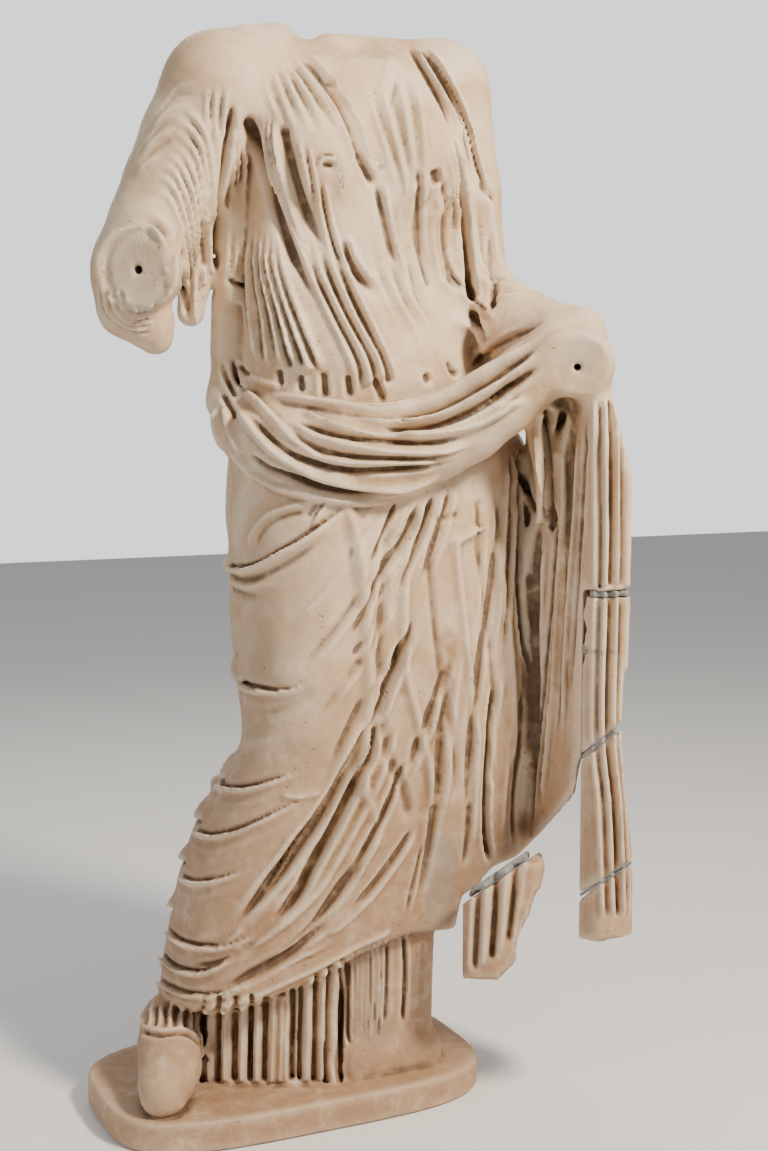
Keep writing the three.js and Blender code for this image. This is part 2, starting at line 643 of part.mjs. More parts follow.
class Grid {
  constructor(form, low, high) {
    this.low = low;
    this.size = low.map((value, k) => Math.ceil((high[k] - value) / CELL / BLOCK) * BLOCK + 1);
    const [nx, ny, nz] = this.size;
    this.stride = [1, nx, nx * ny];
    this.values = new Float32Array(nx * ny * nz);
    this.fill(form);
    this.joinCorners();
  }

  index(i, j, k) {
    return i + this.stride[1] * j + this.stride[2] * k;
  }

  // Only blocks near the surface are worked out cell by cell; the others take their middle's value.
  fill(form) {
    const [nx, ny, nz] = this.size;
    const at = (i, j, k) => form(...this.low.map((value, n) => value + CELL * [i, j, k][n]));
    const reach = CELL * BLOCK * 0.87 * 1.6 + 4;
    const near = [];
    for (let k = 0; k < nz - 1; k += BLOCK) {
      for (let j = 0; j < ny - 1; j += BLOCK) {
        for (let i = 0; i < nx - 1; i += BLOCK) {
          const middle = at(i + BLOCK / 2, j + BLOCK / 2, k + BLOCK / 2);
          this.fillBlock([i, j, k], () => middle);
          if (Math.abs(middle) < reach) {
            near.push([i, j, k]);
          }
        }
      }
    }
    near.forEach((block) => this.fillBlock(block, at));
  }

  fillBlock([i0, j0, k0], at) {
    for (let k = k0; k <= k0 + BLOCK; k += 1) {
      for (let j = j0; j <= j0 + BLOCK; j += 1) {
        for (let i = i0; i <= i0 + BLOCK; i += 1) {
          const rim = [i, j, k].some((value, n) => value === 0 || value === this.size[n] - 1);
          this.values[this.index(i, j, k)] = rim ? 1000 : at(i, j, k);
        }
      }
    }
  }

  // Where the inside or the outside corners of a cell fall apart into two groups, the surface would
  // touch itself at a point or an edge; the outside corner nearest to the surface is filled in.
  joinCorners() {
    const corners = [0, 1, 2, 3, 4, 5, 6, 7];
    const offsets = corners.map((c) => this.index(c & 1, (c >> 1) & 1, c >> 2));
    const together = Array.from({ length: 256 }, (_, mask) => connected(mask) && connected(255 ^ mask));
    for (let changed = true; changed;) {
      changed = false;
      for (let cell = 0; cell < this.values.length - offsets[7]; cell += 1) {
        let mask = 0;
        corners.forEach((c) => {
          mask |= (this.values[cell + offsets[c]] < 0 ? 1 : 0) << c;
        });
        if (!together[mask]) {
          const outside = offsets.filter((_, c) => !((mask >> c) & 1));
          outside.sort((a, b) => this.values[cell + a] - this.values[cell + b]);
          this.values[cell + outside[0]] = -0.01;
          changed = true;
        }
      }
    }
  }
}

// Whether the marked corners of a cube hang together along its edges.
function connected(mask) {
  if (mask === 0) {
    return true;
  }
  let seen = mask & -mask;
  for (let grown = 0; grown !== seen;) {
    grown = seen;
    for (let c = 0; c < 8; c += 1) {
      if ((seen >> c) & 1) {
        seen |= ((1 << (c ^ 1)) | (1 << (c ^ 2)) | (1 << (c ^ 4))) & mask;
      }
    }
  }
  return seen === mask;
}

// One vertex in each cell that the surface crosses, one four-sided face across each crossed grid edge.
function surfaceNet(grid) {
  const { values, size, stride, low } = grid;
  const vertices = [];
  const cellVertex = new Map();
  const quads = [];
  const edges = [];
  for (let axis = 0; axis < 3; axis += 1) {
    const [u, v] = [(axis + 1) % 3, (axis + 2) % 3];
    [0, 1, 2, 3].forEach((c) => edges.push([axis, u, v, c & 1, c >> 1]));
  }
  for (let k = 0; k < size[2] - 1; k += 1) {
    for (let j = 0; j < size[1] - 1; j += 1) {
      for (let i = 0; i < size[0] - 1; i += 1) {
        const cell = grid.index(i, j, k);
        const sum = [0, 0, 0];
        let count = 0;
        for (const [axis, u, v, a, b] of edges) {
          const from = cell + a * stride[u] + b * stride[v];
          const to = from + stride[axis];
          if ((values[from] < 0) !== (values[to] < 0)) {
            sum[axis] += values[from] / (values[from] - values[to]);
            sum[u] += a;
            sum[v] += b;
            count += 1;
          }
        }
        if (count > 0) {
          cellVertex.set(cell, vertices.length);
          vertices.push([i, j, k].map((value, n) => low[n] + CELL * (value + sum[n] / count)));
        }
      }
    }
  }
  for (const cell of cellVertex.keys()) {
    for (let axis = 0; axis < 3; axis += 1) {
      const inside = values[cell] < 0;
      if (inside !== (values[cell + stride[axis]] < 0)) {
        const [u, v] = [stride[(axis + 1) % 3], stride[(axis + 2) % 3]];
        const ring = [cell - u - v, cell - v, cell, cell - u].map((c) => cellVertex.get(c));
        quads.push(inside ? ring : ring.reverse());
      }
    }
  }
  return { vertices, quads };
}

function vertexNormals({ vertices, quads }) {
  const normals = vertices.map(() => [0, 0, 0]);
  for (const [a, b, c, d] of quads) {
    const p = vertices[c].map((value, k) => value - vertices[a][k]);
    const q = vertices[d].map((value, k) => value - vertices[b][k]);
    const n = [p[1] * q[2] - p[2] * q[1], p[2] * q[0] - p[0] * q[2], p[0] * q[1] - p[1] * q[0]];
    [a, b, c, d].forEach((index) => n.forEach((value, k) => {
      normals[index][k] += value;
    }));
  }
  return normals.map((n) => n.map((value) => value / Math.max(Math.hypot(...n), 1e-9)));
}

// Each vertex a part of the way to the mean of its neighbours.
function relax({ vertices, quads }, share) {
  const sums = vertices.map(() => [0, 0, 0, 0]);
  for (const quad of quads) {
    quad.forEach((index, side) => {
      for (const neighbour of [quad[(side + 1) % 4], quad[(side + 3) % 4]]) {
        vertices[neighbour].forEach((value, k) => {
          sums[index][k] += value;
        });
        sums[index][3] += 1;
      }
    });
  }
  return vertices.map((v, i) => v.map((value, k) => value + share * (sums[i][k] / sums[i][3] - value)));
}

// ---------------------------------------------------------------- fewer faces
// Edges are collapsed in the order of how little that moves the surface (Garland and Heckbert), only
// where the mesh stays closed and no face turns over.
const FLATTEST_TURN = 0.25; // least cosine between a face's directions before and after
const SPREAD = 0.002; // small pull to the edge's middle, which keeps flat areas evenly divided

class Heap {
  constructor() {
    this.items = [];
  }

  push(item) {
    const { items } = this;
    let i = items.push(item) - 1;
    while (i > 0) {
      const parent = (i - 1) >> 1;
      if (items[parent].cost <= item.cost) {
        break;
      }
      items[i] = items[parent];
      i = parent;
    }
    items[i] = item;
  }

  pop() {
    const { items } = this;
    const first = items[0];
    const item = items.pop();
    let i = 0;
    while (items.length > 0) {
      let child = 2 * i + 1;
      if (child >= items.length) {
        break;
      }
      if (child + 1 < items.length && items[child + 1].cost < items[child].cost) {
        child += 1;
      }
      if (item.cost <= items[child].cost) {
        break;
      }
      items[i] = items[child];
      i = child;
    }
    if (items.length > 0) {
      items[i] = item;
    }
    return first;
  }
}

class Simplifier {
  constructor(vertices, triangles) {
    this.points = vertices;
    this.faces = triangles;
    this.around = vertices.map(() => new Set());
    this.error = vertices.map(() => new Float64Array(10));
    this.stamp = new Int32Array(vertices.length);
    this.heap = new Heap();
    triangles.forEach((face, index) => face.forEach((v) => this.around[v].add(index)));
    triangles.forEach((face) => this.addPlane(face));
    for (const [a, b, c] of triangles) {
      [[a, b], [b, c], [c, a]].filter(([p, q]) => p < q).forEach(([p, q]) => this.queue(p, q));
    }
  }

  direction([a, b, c], moved = null, target = null) {
    const [p, q, r] = [a, b, c].map((v) => (moved !== null && moved.includes(v) ? target : this.points[v]));
    const u = [q[0] - p[0], q[1] - p[1], q[2] - p[2]];
    const w = [r[0] - p[0], r[1] - p[1], r[2] - p[2]];
    return [u[1] * w[2] - u[2] * w[1], u[2] * w[0] - u[0] * w[2], u[0] * w[1] - u[1] * w[0]];
  }

  addPlane(face) {
    const n = this.direction(face);
    const area = Math.hypot(...n);
    if (area < 1e-9) {
      return;
    }
    const [a, b, c] = n.map((value) => value / area);
    const p = this.points[face[0]];
    const d = -(a * p[0] + b * p[1] + c * p[2]);
    const terms = [a * a, a * b, a * c, a * d, b * b, b * c, b * d, c * c, c * d, d * d];
    for (const v of face) {
      terms.forEach((term, k) => {
        this.error[v][k] += term * area;
      });
    }
  }

  static cost(e, [x, y, z]) {
    const squares = e[0] * x * x + e[4] * y * y + e[7] * z * z + e[9];
    return squares + 2 * (e[1] * x * y + e[2] * x * z + e[3] * x + e[5] * y * z + e[6] * y + e[8] * z);
  }

  // The point of least error, held near the middle of the edge.
  place(e, middle, weight) {
    const m = [[e[0] + weight, e[1], e[2]], [e[1], e[4] + weight, e[5]], [e[2], e[5], e[7] + weight]];
    const r = [e[3], e[6], e[8]].map((value, k) => weight * middle[k] - value);
    const cross = (p, q) => [p[1] * q[2] - p[2] * q[1], p[2] * q[0] - p[0] * q[2], p[0] * q[1] - p[1] * q[0]];
    const dot = (p, q) => p[0] * q[0] + p[1] * q[1] + p[2] * q[2];
    const whole = dot(m[0], cross(m[1], m[2]));
    if (Math.abs(whole) < 1e-9) {
      return middle;
    }
    return [
      dot(r, cross(m[1], m[2])) / whole,
      dot(m[0], cross(r, m[2])) / whole,
      dot(m[0], cross(m[1], r)) / whole,
    ];
  }

  queue(a, b) {
    const e = this.error[a].map((value, k) => value + this.error[b][k]);
    const [p, q] = [this.points[a], this.points[b]];
    const middle = p.map((value, k) => (value + q[k]) / 2);
    const length = Math.hypot(...p.map((value, k) => value - q[k]));
    let target = this.place(e, middle, SPREAD * (e[0] + e[4] + e[7]) + 1e-6);
    if (Math.hypot(...target.map((value, k) => value - middle[k])) > 2 * length) {
      target = middle;
    }
    const cost = Math.max(Simplifier.cost(e, target), 0) + 1e-4 * length ** 4;
    this.heap.push({ cost, a, b, target, age: this.stamp[a] + this.stamp[b] });
  }

  neighbours(v) {
    const found = new Set();
    this.around[v].forEach((face) => this.faces[face].forEach((w) => found.add(w)));
    found.delete(v);
    return found;
  }

  allowed(a, b, target) {
    const [near, far] = [this.neighbours(a), this.neighbours(b)];
    let shared = 0;
    near.forEach((v) => {
      shared += far.has(v) ? 1 : 0;
    });
    if (shared !== 2 || near.size + far.size < 9) {
      return false;
    }
    for (const v of [a, b]) {
      for (const index of this.around[v]) {
        const face = this.faces[index];
        if (!(face.includes(a) && face.includes(b))) {
          const before = this.direction(face);
          const after = this.direction(face, [v], target);
          const [x, y] = [Math.hypot(...before), Math.hypot(...after)];
          const dot = before[0] * after[0] + before[1] * after[1] + before[2] * after[2];
          if (y < 0.5 || dot < FLATTEST_TURN * x * y) {
            return false;
          }
        }
      }
    }
    return true;
  }

  collapse(a, b, target) {
    this.points[a] = target;
    this.error[b].forEach((value, k) => {
      this.error[a][k] += value;
    });
    let removed = 0;
    for (const index of [...this.around[b]]) {
      const face = this.faces[index];
      if (face.includes(a)) {
        face.forEach((v) => this.around[v].delete(index));
        this.faces[index] = null;
        removed += 1;
      } else {
        face[face.indexOf(b)] = a;
        this.around[a].add(index);
      }
    }
    this.around[b].clear();
    this.stamp[a] += 1;
    this.stamp[b] += 1e6;
    const ring = this.neighbours(a);
    ring.forEach((v) => this.queue(Math.min(a, v), Math.max(a, v)));
    return removed;
  }

  run(wanted) {
    let count = this.faces.length;
    while (count > wanted && this.heap.items.length > 0) {
      const { a, b, target, age } = this.heap.pop();
      if (age === this.stamp[a] + this.stamp[b] && this.allowed(a, b, target)) {
        count -= this.collapse(a, b, target);
      }
    }
    return this.faces.filter((face) => face !== null);
  }
}

// A closed solid from a form and its folds, with about the wanted number of triangles.
function carve(form, folds, low, high, wanted) {
  const net = surfaceNet(new Grid(form, low, high));
  net.vertices = relax(net, 0.5);
  net.vertices = pressFolds(net.vertices, vertexNormals(net), folds, form);
  net.vertices = relax(net, 0.3);
  const triangles = net.quads.flatMap(([a, b, c, d]) => [[a, b, c], [a, c, d]]);
  const simplifier = new Simplifier(net.vertices, triangles);
  const kept = simplifier.run(wanted);
  return solid(simplifier.points, kept);
}

function solid(points, triangles) {
  const used = new Map();
  triangles.flat().forEach((v) => {
    if (!used.has(v)) {
      used.set(v, used.size);
    }
  });
  const vertProperties = new Float32Array(used.size * 3);
  used.forEach((place, v) => vertProperties.set(points[v], place * 3));
  const triVerts = Uint32Array.from(triangles.flat().map((v) => used.get(v)));
  return new wasm.Manifold(new wasm.Mesh({ numProp: 3, vertProperties, triVerts }));
}

// ---------------------------------------------------------------- breaks and joints
// Everything on the far side of a plane: a large box whose -Z face lies on it.
const FAR = 3000;

function beyond(point, direction, set = 0) {
  const box = new THREE.BoxGeometry(FAR, FAR, FAR);
  box.translate(0, 0, FAR / 2 + set);
  const towards = new THREE.Vector3(...direction).normalize();
  const turn = new THREE.Quaternion().setFromUnitVectors(new THREE.Vector3(0, 0, 1), towards);
  box.applyQuaternion(turn);
  box.translate(...point);
  const place = box.getAttribute('position');
  const corners = new Map();
  const points = [];
  const names = Array.from({ length: place.count }, (_, i) => {
    const corner = [place.getX(i), place.getY(i), place.getZ(i)];
    const key = corner.map((value) => value.toFixed(3)).join();
    if (!corners.has(key)) {
      corners.set(key, points.push(corner) - 1);
    }
    return corners.get(key);
  });
  const order = Array.from(box.getIndex().array);
  const triangles = Array.from({ length: order.length / 3 }, (_, i) => order.slice(3 * i, 3 * i + 3));
  return solid(points, triangles.map((triangle) => triangle.map((i) => names[i])));
}

// The plane through the viewing point and two drawn points, facing up.
function sightPlane(from, to) {
  const eye = new THREE.Vector3(...setOut(EYE_ACROSS, EYE_HEIGHT, -EYE_DISTANCE));
  const a = new THREE.Vector3(...setOut(...from, 0)).sub(eye);
  const b = new THREE.Vector3(...setOut(...to, 0)).sub(eye);
  const direction = a.cross(b).normalize();
  if (direction.z < 0) {
    direction.negate();
  }
  return { point: setOut(...from, 0), up: direction.toArray() };
}

const above = ({ point, up }, set) => beyond(point, up, set);
const below = ({ point, up }, set) => beyond(point, up.map((value) => -value), -set);

// Only the largest connected part, so that no loose crumbs are left where a fold cut is trimmed.
function largest(shape) {
  const { vertProperties, triVerts } = shape.getMesh();
  const parent = Int32Array.from({ length: vertProperties.length / 3 }, (_, i) => i);
  const root = (i) => {
    let top = i;
    while (parent[top] !== top) {
      top = parent[top];
    }
    parent[i] = top;
    return top;
  };
  for (let i = 0; i < triVerts.length; i += 3) {
    parent[root(triVerts[i + 1])] = root(triVerts[i]);
    parent[root(triVerts[i + 2])] = root(triVerts[i]);
  }
  const counts = new Map();
  triVerts.forEach((v) => counts.set(root(v), (counts.get(root(v)) ?? 0) + 1));
  const [main] = [...counts].sort((a, b) => b[1] - a[1])[0];
  const geometry = new THREE.BufferGeometry();
  geometry.setAttribute('position', new THREE.BufferAttribute(vertProperties, 3));
  geometry.setIndex(Array.from(triVerts).filter((v) => root(v) === main));
  geometry.computeVertexNormals();
  return geometry;
}

// The lower front of the fall broke away along an upright oblique face.
const BREAK_POINT = [385, -300, 0];
const BREAK_DIRECTION = [0.68, -0.733, 0];
const fallJoints = [
  { point: [0, 0, FALL_JOINT_HEIGHT], up: [0, 0, 1], bed: MORTAR_BED },
  { ...sightPlane([555, 625], [483, 565]), bed: 8 },
  { ...sightPlane([600, 410], [480, 330]), bed: 6 },
];
const hemJoint = { ...sightPlane([320, 352], [400, 408]), bed: 13 };
const HEM_PIECE_LEFT = 296;
const rightOf = (across, set) => {
  const side = new THREE.Vector3(...setOut(across, 0, 0)).sub(new THREE.Vector3(...setOut(EYE_ACROSS, 0, -EYE_DISTANCE)));
  const direction = side.cross(new THREE.Vector3(0, 0, 1)).normalize();
  return beyond(setOut(across, 0, 0), direction.toArray(), set);
};

const wholeStatue = carve(statueForm, statueFolds, [-345, -420, -72], [560, 330, 1775], STATUE_TRIANGLES);
const brokenAway = beyond(BREAK_POINT, BREAK_DIRECTION).intersect(below(fallJoints[0], 0));
const underHem = below(hemJoint, 0).intersect(rightOf(HEM_PIECE_LEFT, 0)).intersect(beyond([0, 0, 150], [0, 0, 1]));
const underside = beyond([0, 0, 0], [0, 0, -1]);
const statueShape = wholeStatue.subtract(brokenAway).subtract(underHem).subtract(underside);

const wholeFall = carve(fall, fallFolds, [340, -400, 200], [560, -80, 900], FALL_TRIANGLES);
const fallFront = wholeFall.intersect(beyond(BREAK_POINT, BREAK_DIRECTION, JOINT_GAP));
const mortarOf = (shape, joint) => shape.intersect(below(joint, -JOINT_GAP)).intersect(above(joint, JOINT_GAP - joint.bed));
const fragmentOf = (shape, joint) => shape.intersect(below(joint, -joint.bed));

const wholeHemPiece = carve(hemPiece, hemPieceFolds, [200, -260, 160], [520, 120, 460], HEM_TRIANGLES)
  .intersect(rightOf(HEM_PIECE_LEFT, JOINT_GAP));

// ---------------------------------------------------------------- the object
const marble = new THREE.MeshStandardMaterial({ color: new THREE.Color(0.78, 0.7, 0.58), roughness: 0.62, metalness: 0 });
const mortar = new THREE.MeshStandardMaterial({ color: new THREE.Color(0.55, 0.56, 0.55), roughness: 0.9, metalness: 0 });

const group = new THREE.Group();
group.name = 'classical_statue';

function addNode(name, shape, material) {
  const mesh = new THREE.Mesh(largest(shape), material);
  mesh.name = name;
  group.add(mesh);
}

addNode('statue', statueShape, marble);
addNode('fall_fragment_upper', fragmentOf(fallFront, fallJoints[0]).intersect(above(fallJoints[1], 0)), marble);
addNode('fall_fragment_middle', fragmentOf(fallFront, fallJoints[1]).intersect(above(fallJoints[2], 0)), marble);
addNode('fall_fragment_lower', fragmentOf(fallFront, fallJoints[2]), marble);
addNode('hem_fragment', fragmentOf(wholeHemPiece, hemJoint), marble);
addNode('mortar_upper', mortarOf(fallFront, fallJoints[0]), mortar);
addNode('mortar_middle', mortarOf(fallFront, fallJoints[1]), mortar);
addNode('mortar_lower', mortarOf(fallFront, fallJoints[2]), mortar);
addNode('mortar_hem', mortarOf(wholeHemPiece, hemJoint), mortar);

export default group;
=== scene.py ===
"""The looks of the marble statue: carved form, fold by fold relief, weathered finishes and the studio.

The block is modelled as a distance field on a fine grid. Broad forms are lofts and limbs, folds are lines
carried to the form with a cross-section each, and breaks are rough trims. The surface taken from the grid
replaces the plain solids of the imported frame, in the same place and at the same size.
"""

from __future__ import annotations

import logging
import math
from dataclasses import dataclass, field
from enum import Enum
from typing import Callable, ClassVar, Iterable, Sequence

import bpy  # noqa: E402
import numpy as np  # noqa: E402
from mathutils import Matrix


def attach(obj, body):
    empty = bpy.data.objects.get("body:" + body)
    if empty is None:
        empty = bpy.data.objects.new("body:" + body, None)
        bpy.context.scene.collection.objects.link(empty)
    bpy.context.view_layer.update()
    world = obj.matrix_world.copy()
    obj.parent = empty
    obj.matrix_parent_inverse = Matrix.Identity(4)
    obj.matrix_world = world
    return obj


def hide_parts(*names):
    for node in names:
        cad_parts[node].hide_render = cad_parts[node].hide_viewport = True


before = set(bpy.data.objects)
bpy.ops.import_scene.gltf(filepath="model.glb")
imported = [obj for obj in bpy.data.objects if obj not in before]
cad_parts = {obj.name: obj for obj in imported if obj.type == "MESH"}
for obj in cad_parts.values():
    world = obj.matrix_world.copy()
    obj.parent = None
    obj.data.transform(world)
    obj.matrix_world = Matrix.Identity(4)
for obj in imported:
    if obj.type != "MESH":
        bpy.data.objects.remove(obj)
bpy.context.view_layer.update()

LOG = logging.getLogger("marble_statue")
MM = 0.001

Array = np.ndarray
Field = Callable[[Array], Array]
Path2 = Sequence[tuple[float, float]]


# ------------------------------------------------------------------------------------------------ set-out
@dataclass(frozen=True)
class Drawing:
    """The upright drawing plane through the middle of the base, and the point it is looked at from.

    Attributes:
        across: Place of the viewing point along the drawing, in millimetres.
        distance: How far the viewing point is in front of the plane.
        height: Height of the viewing point.
        turn: Angle from the figure's front to the drawing's front.
    """

    across: float = 166.0
    distance: float = 2694.0
    height: float = 1160.0
    turn: float = math.radians(24.8)

    def to_body(self, points: Array) -> Array:
        """Turns points from the drawing's axes to the figure's own."""
        c, s = math.cos(self.turn), math.sin(self.turn)
        x, y, z = points[..., 0], points[..., 1], points[..., 2]
        return np.stack([x * c + y * s, -x * s + y * c, z], -1)

    def to_drawing(self, points: Array) -> Array:
        """Turns points from the figure's own axes to the drawing's."""
        c, s = math.cos(self.turn), math.sin(self.turn)
        x, y, z = points[..., 0], points[..., 1], points[..., 2]
        return np.stack([x * c - y * s, x * s + y * c, z], -1)

    def set_out(self, across: float, up: float, depth: float) -> Array:
        """Finds the point at a depth behind the plane, on the line of sight through a drawn point.

        Args:
            across: Drawn place to the right.
            up: Drawn height.
            depth: Distance behind the plane.

        Returns:
            The point in the figure's axes.
        """
        reach = (self.distance + depth) / self.distance
        x = self.across + (across - self.across) * reach
        z = self.height + (up - self.height) * reach
        return self.to_body(np.array([x, depth, z]))

    def drawn(self, points: Array) -> tuple[Array, Array]:
        """Finds where points appear on the drawing.

        Args:
            points: Points in the figure's axes.

        Returns:
            Their places across and up the drawing.
        """
        turned = self.to_drawing(points)
        reach = (self.distance + turned[..., 1]) / self.distance
        across = self.across + (turned[..., 0] - self.across) / reach
        return across, self.height + (turned[..., 2] - self.height) / reach


DRAWING = Drawing()


def ball(across: float, up: float, depth: float, radius: float) -> list[float]:
    """Places a ball by its drawn centre, depth and radius."""
    return [*DRAWING.set_out(across, up, depth), radius]


# ---------------------------------------------------------------------------------------- distance shapes
def smooth_min(a: Array, b: Array, blend: float) -> Array:
    """Joins two distance fields with a rounded inner corner of about the blend's size."""
    near = np.maximum(blend - np.abs(a - b), 0) / blend
    return np.minimum(a, b) - near * near * blend * 0.25


def smooth_max(a: Array, b: Array, blend: float) -> Array:
    """Cuts one distance field by another, with a rounded outer edge."""
    return -smooth_min(-a, -b, blend)


@dataclass(frozen=True)
class Limb:
    """A chain of rounded cones through balls, each x, y, z, radius."""

    balls: Sequence[Sequence[float]]
    blend: float = 6.0

    def __call__(self, points: Array) -> Array:
        """Measures the distance from points to the chain."""
        result = None
        for a, b in zip(self.balls[:-1], self.balls[1:]):
            start, along = np.array(a[:3]), np.array(b[:3]) - np.array(a[:3])
            t = np.clip(((points - start) @ along) / (along @ along), 0, 1)
            off = points - (start + t[..., None] * along)
            d = np.sqrt((off * off).sum(-1)) - (a[3] + t * (b[3] - a[3]))
            result = d if result is None else smooth_min(result, d, self.blend)
        return result


@dataclass(frozen=True)
class Ellipsoid:
    """An ellipsoid with its radii along axes turned about the vertical."""

    centre: Sequence[float]
    radii: Sequence[float]
    turn: float = 0.0

    def __call__(self, points: Array) -> Array:
        """Measures the distance from points to the ellipsoid, true near its surface."""
        off = points - np.array(self.centre)
        c, s = math.cos(self.turn), math.sin(self.turn)
        x = (off[..., 0] * c + off[..., 1] * s) / self.radii[0]
        y = (-off[..., 0] * s + off[..., 1] * c) / self.radii[1]
        return (np.sqrt(x * x + y * y + (off[..., 2] / self.radii[2]) ** 2) - 1) * min(self.radii)


@dataclass(frozen=True)
class Plane:
    """A flat face through a point; the side that its direction points to is outside."""

    point: Sequence[float]
    direction: Sequence[float]

    def __call__(self, points: Array) -> Array:
        """Measures the distance from points to the face."""
        direction = np.array(self.direction, float)
        return (points - np.array(self.point)) @ (direction / np.linalg.norm(direction))


@dataclass(frozen=True)
class Loft:
    """Superelliptic sections at heights, run together smoothly.

    Attributes:
        stations: Rows of height, centre x and y, half widths left and right, half depths front and back,
            and the section's power.
        end_blend: Rounding at the two ends.
    """

    stations: Sequence[Sequence[float]]
    end_blend: float

    def section(self, z: Array) -> list[Array]:
        """Runs each column of the stations as a smooth curve that doesn't overshoot."""
        rows = np.array(self.stations, float)
        heights = rows[:, 0]
        at = np.clip(z, heights[0], heights[-1])
        i = np.clip(np.searchsorted(heights, at, side="right") - 1, 0, len(heights) - 2)
        gap = heights[i + 1] - heights[i]
        t = (at - heights[i]) / gap
        curves = []
        for values in rows[:, 1:].T:
            rise = np.diff(values) / np.diff(heights)
            slope = np.zeros(len(values))
            slope[0], slope[-1] = rise[0], rise[-1]
            for k in range(1, len(values) - 1):
                if rise[k - 1] * rise[k] > 0:
                    slope[k] = 2 * rise[k - 1] * rise[k] / (rise[k - 1] + rise[k])
            t2, t3 = t * t, t * t * t
            low = (2 * t3 - 3 * t2 + 1) * values[i] + (t3 - 2 * t2 + t) * gap * slope[i]
            curves.append(low + (-2 * t3 + 3 * t2) * values[i + 1] + (t3 - t2) * gap * slope[i + 1])
        return curves

    def __call__(self, points: Array) -> Array:
        """Measures the distance from points to the loft, true near its surface."""
        cx, cy, left, right, front, back, power = self.section(points[..., 2])
        x, y = points[..., 0] - cx, points[..., 1] - cy
        a, b = np.where(x < 0, left, right), np.where(y < 0, front, back)
        level = (np.abs(x / a) ** power + np.abs(y / b) ** power) ** (1 / power)
        d = np.sqrt(x * x + y * y) * (1 - 1 / np.maximum(level, 1e-4))
        d = np.where(level < 0.05, -np.minimum(a, b), d)
        d = smooth_max(d, self.stations[0][0] - points[..., 2], self.end_blend)
        return smooth_max(d, points[..., 2] - self.stations[-1][0], self.end_blend)


def noise(points: Array, size: float, seed: int) -> Array:
    """Smooth random values from -1 to 1 that change over the given size.

    Args:
        points: Places, in millimetres.
        size: Spacing of the random lattice.
        seed: Fixes the pattern.

    Returns:
        One value for each point.
    """
    cell = np.floor(points / size)
    t = points / size - cell
    t = t * t * (3 - 2 * t)
    cell = cell.astype(np.int64)
    total = np.zeros(points.shape[:-1])
    for corner in range(8):
        step = np.array([corner & 1, (corner >> 1) & 1, corner >> 2])
        k = (cell + step) * np.array([73856093, 19349663, 83492791])
        mixed = (k[..., 0] ^ k[..., 1] ^ k[..., 2]) + seed * 2654435761
        mixed = (mixed ^ (mixed >> 13)) * 1274126177
        value = ((mixed ^ (mixed >> 16)) & 65535) / 32767.5 - 1
        total += value * np.prod(np.where(step == 1, t, 1 - t), -1)
    return total


# -------------------------------------------------------------------------------------------- broad forms
HEM = [
    (-400, 150), (-235, 185), (-205, 152), (-170, 137), (-110, 134), (-80, 138), (-50, 150), (0, 168),
    (50, 190), (100, 220), (150, 246), (195, 264), (215, 270), (285, 276), (292, 330), (320, 352),
    (345, 382), (385, 400), (425, 440), (450, 470), (482, 512), (486, 560), (520, 600), (700, 640),
]


def below_hem(points: Array) -> Array:
    """Measures how far points are below the mantle's hem, as drawn."""
    across, up = DRAWING.drawn(points)
    drawn = np.interp(across, [row[0] for row in HEM], [row[1] for row in HEM])
    return np.maximum(drawn - up, 125 - points[..., 2]) * 0.85


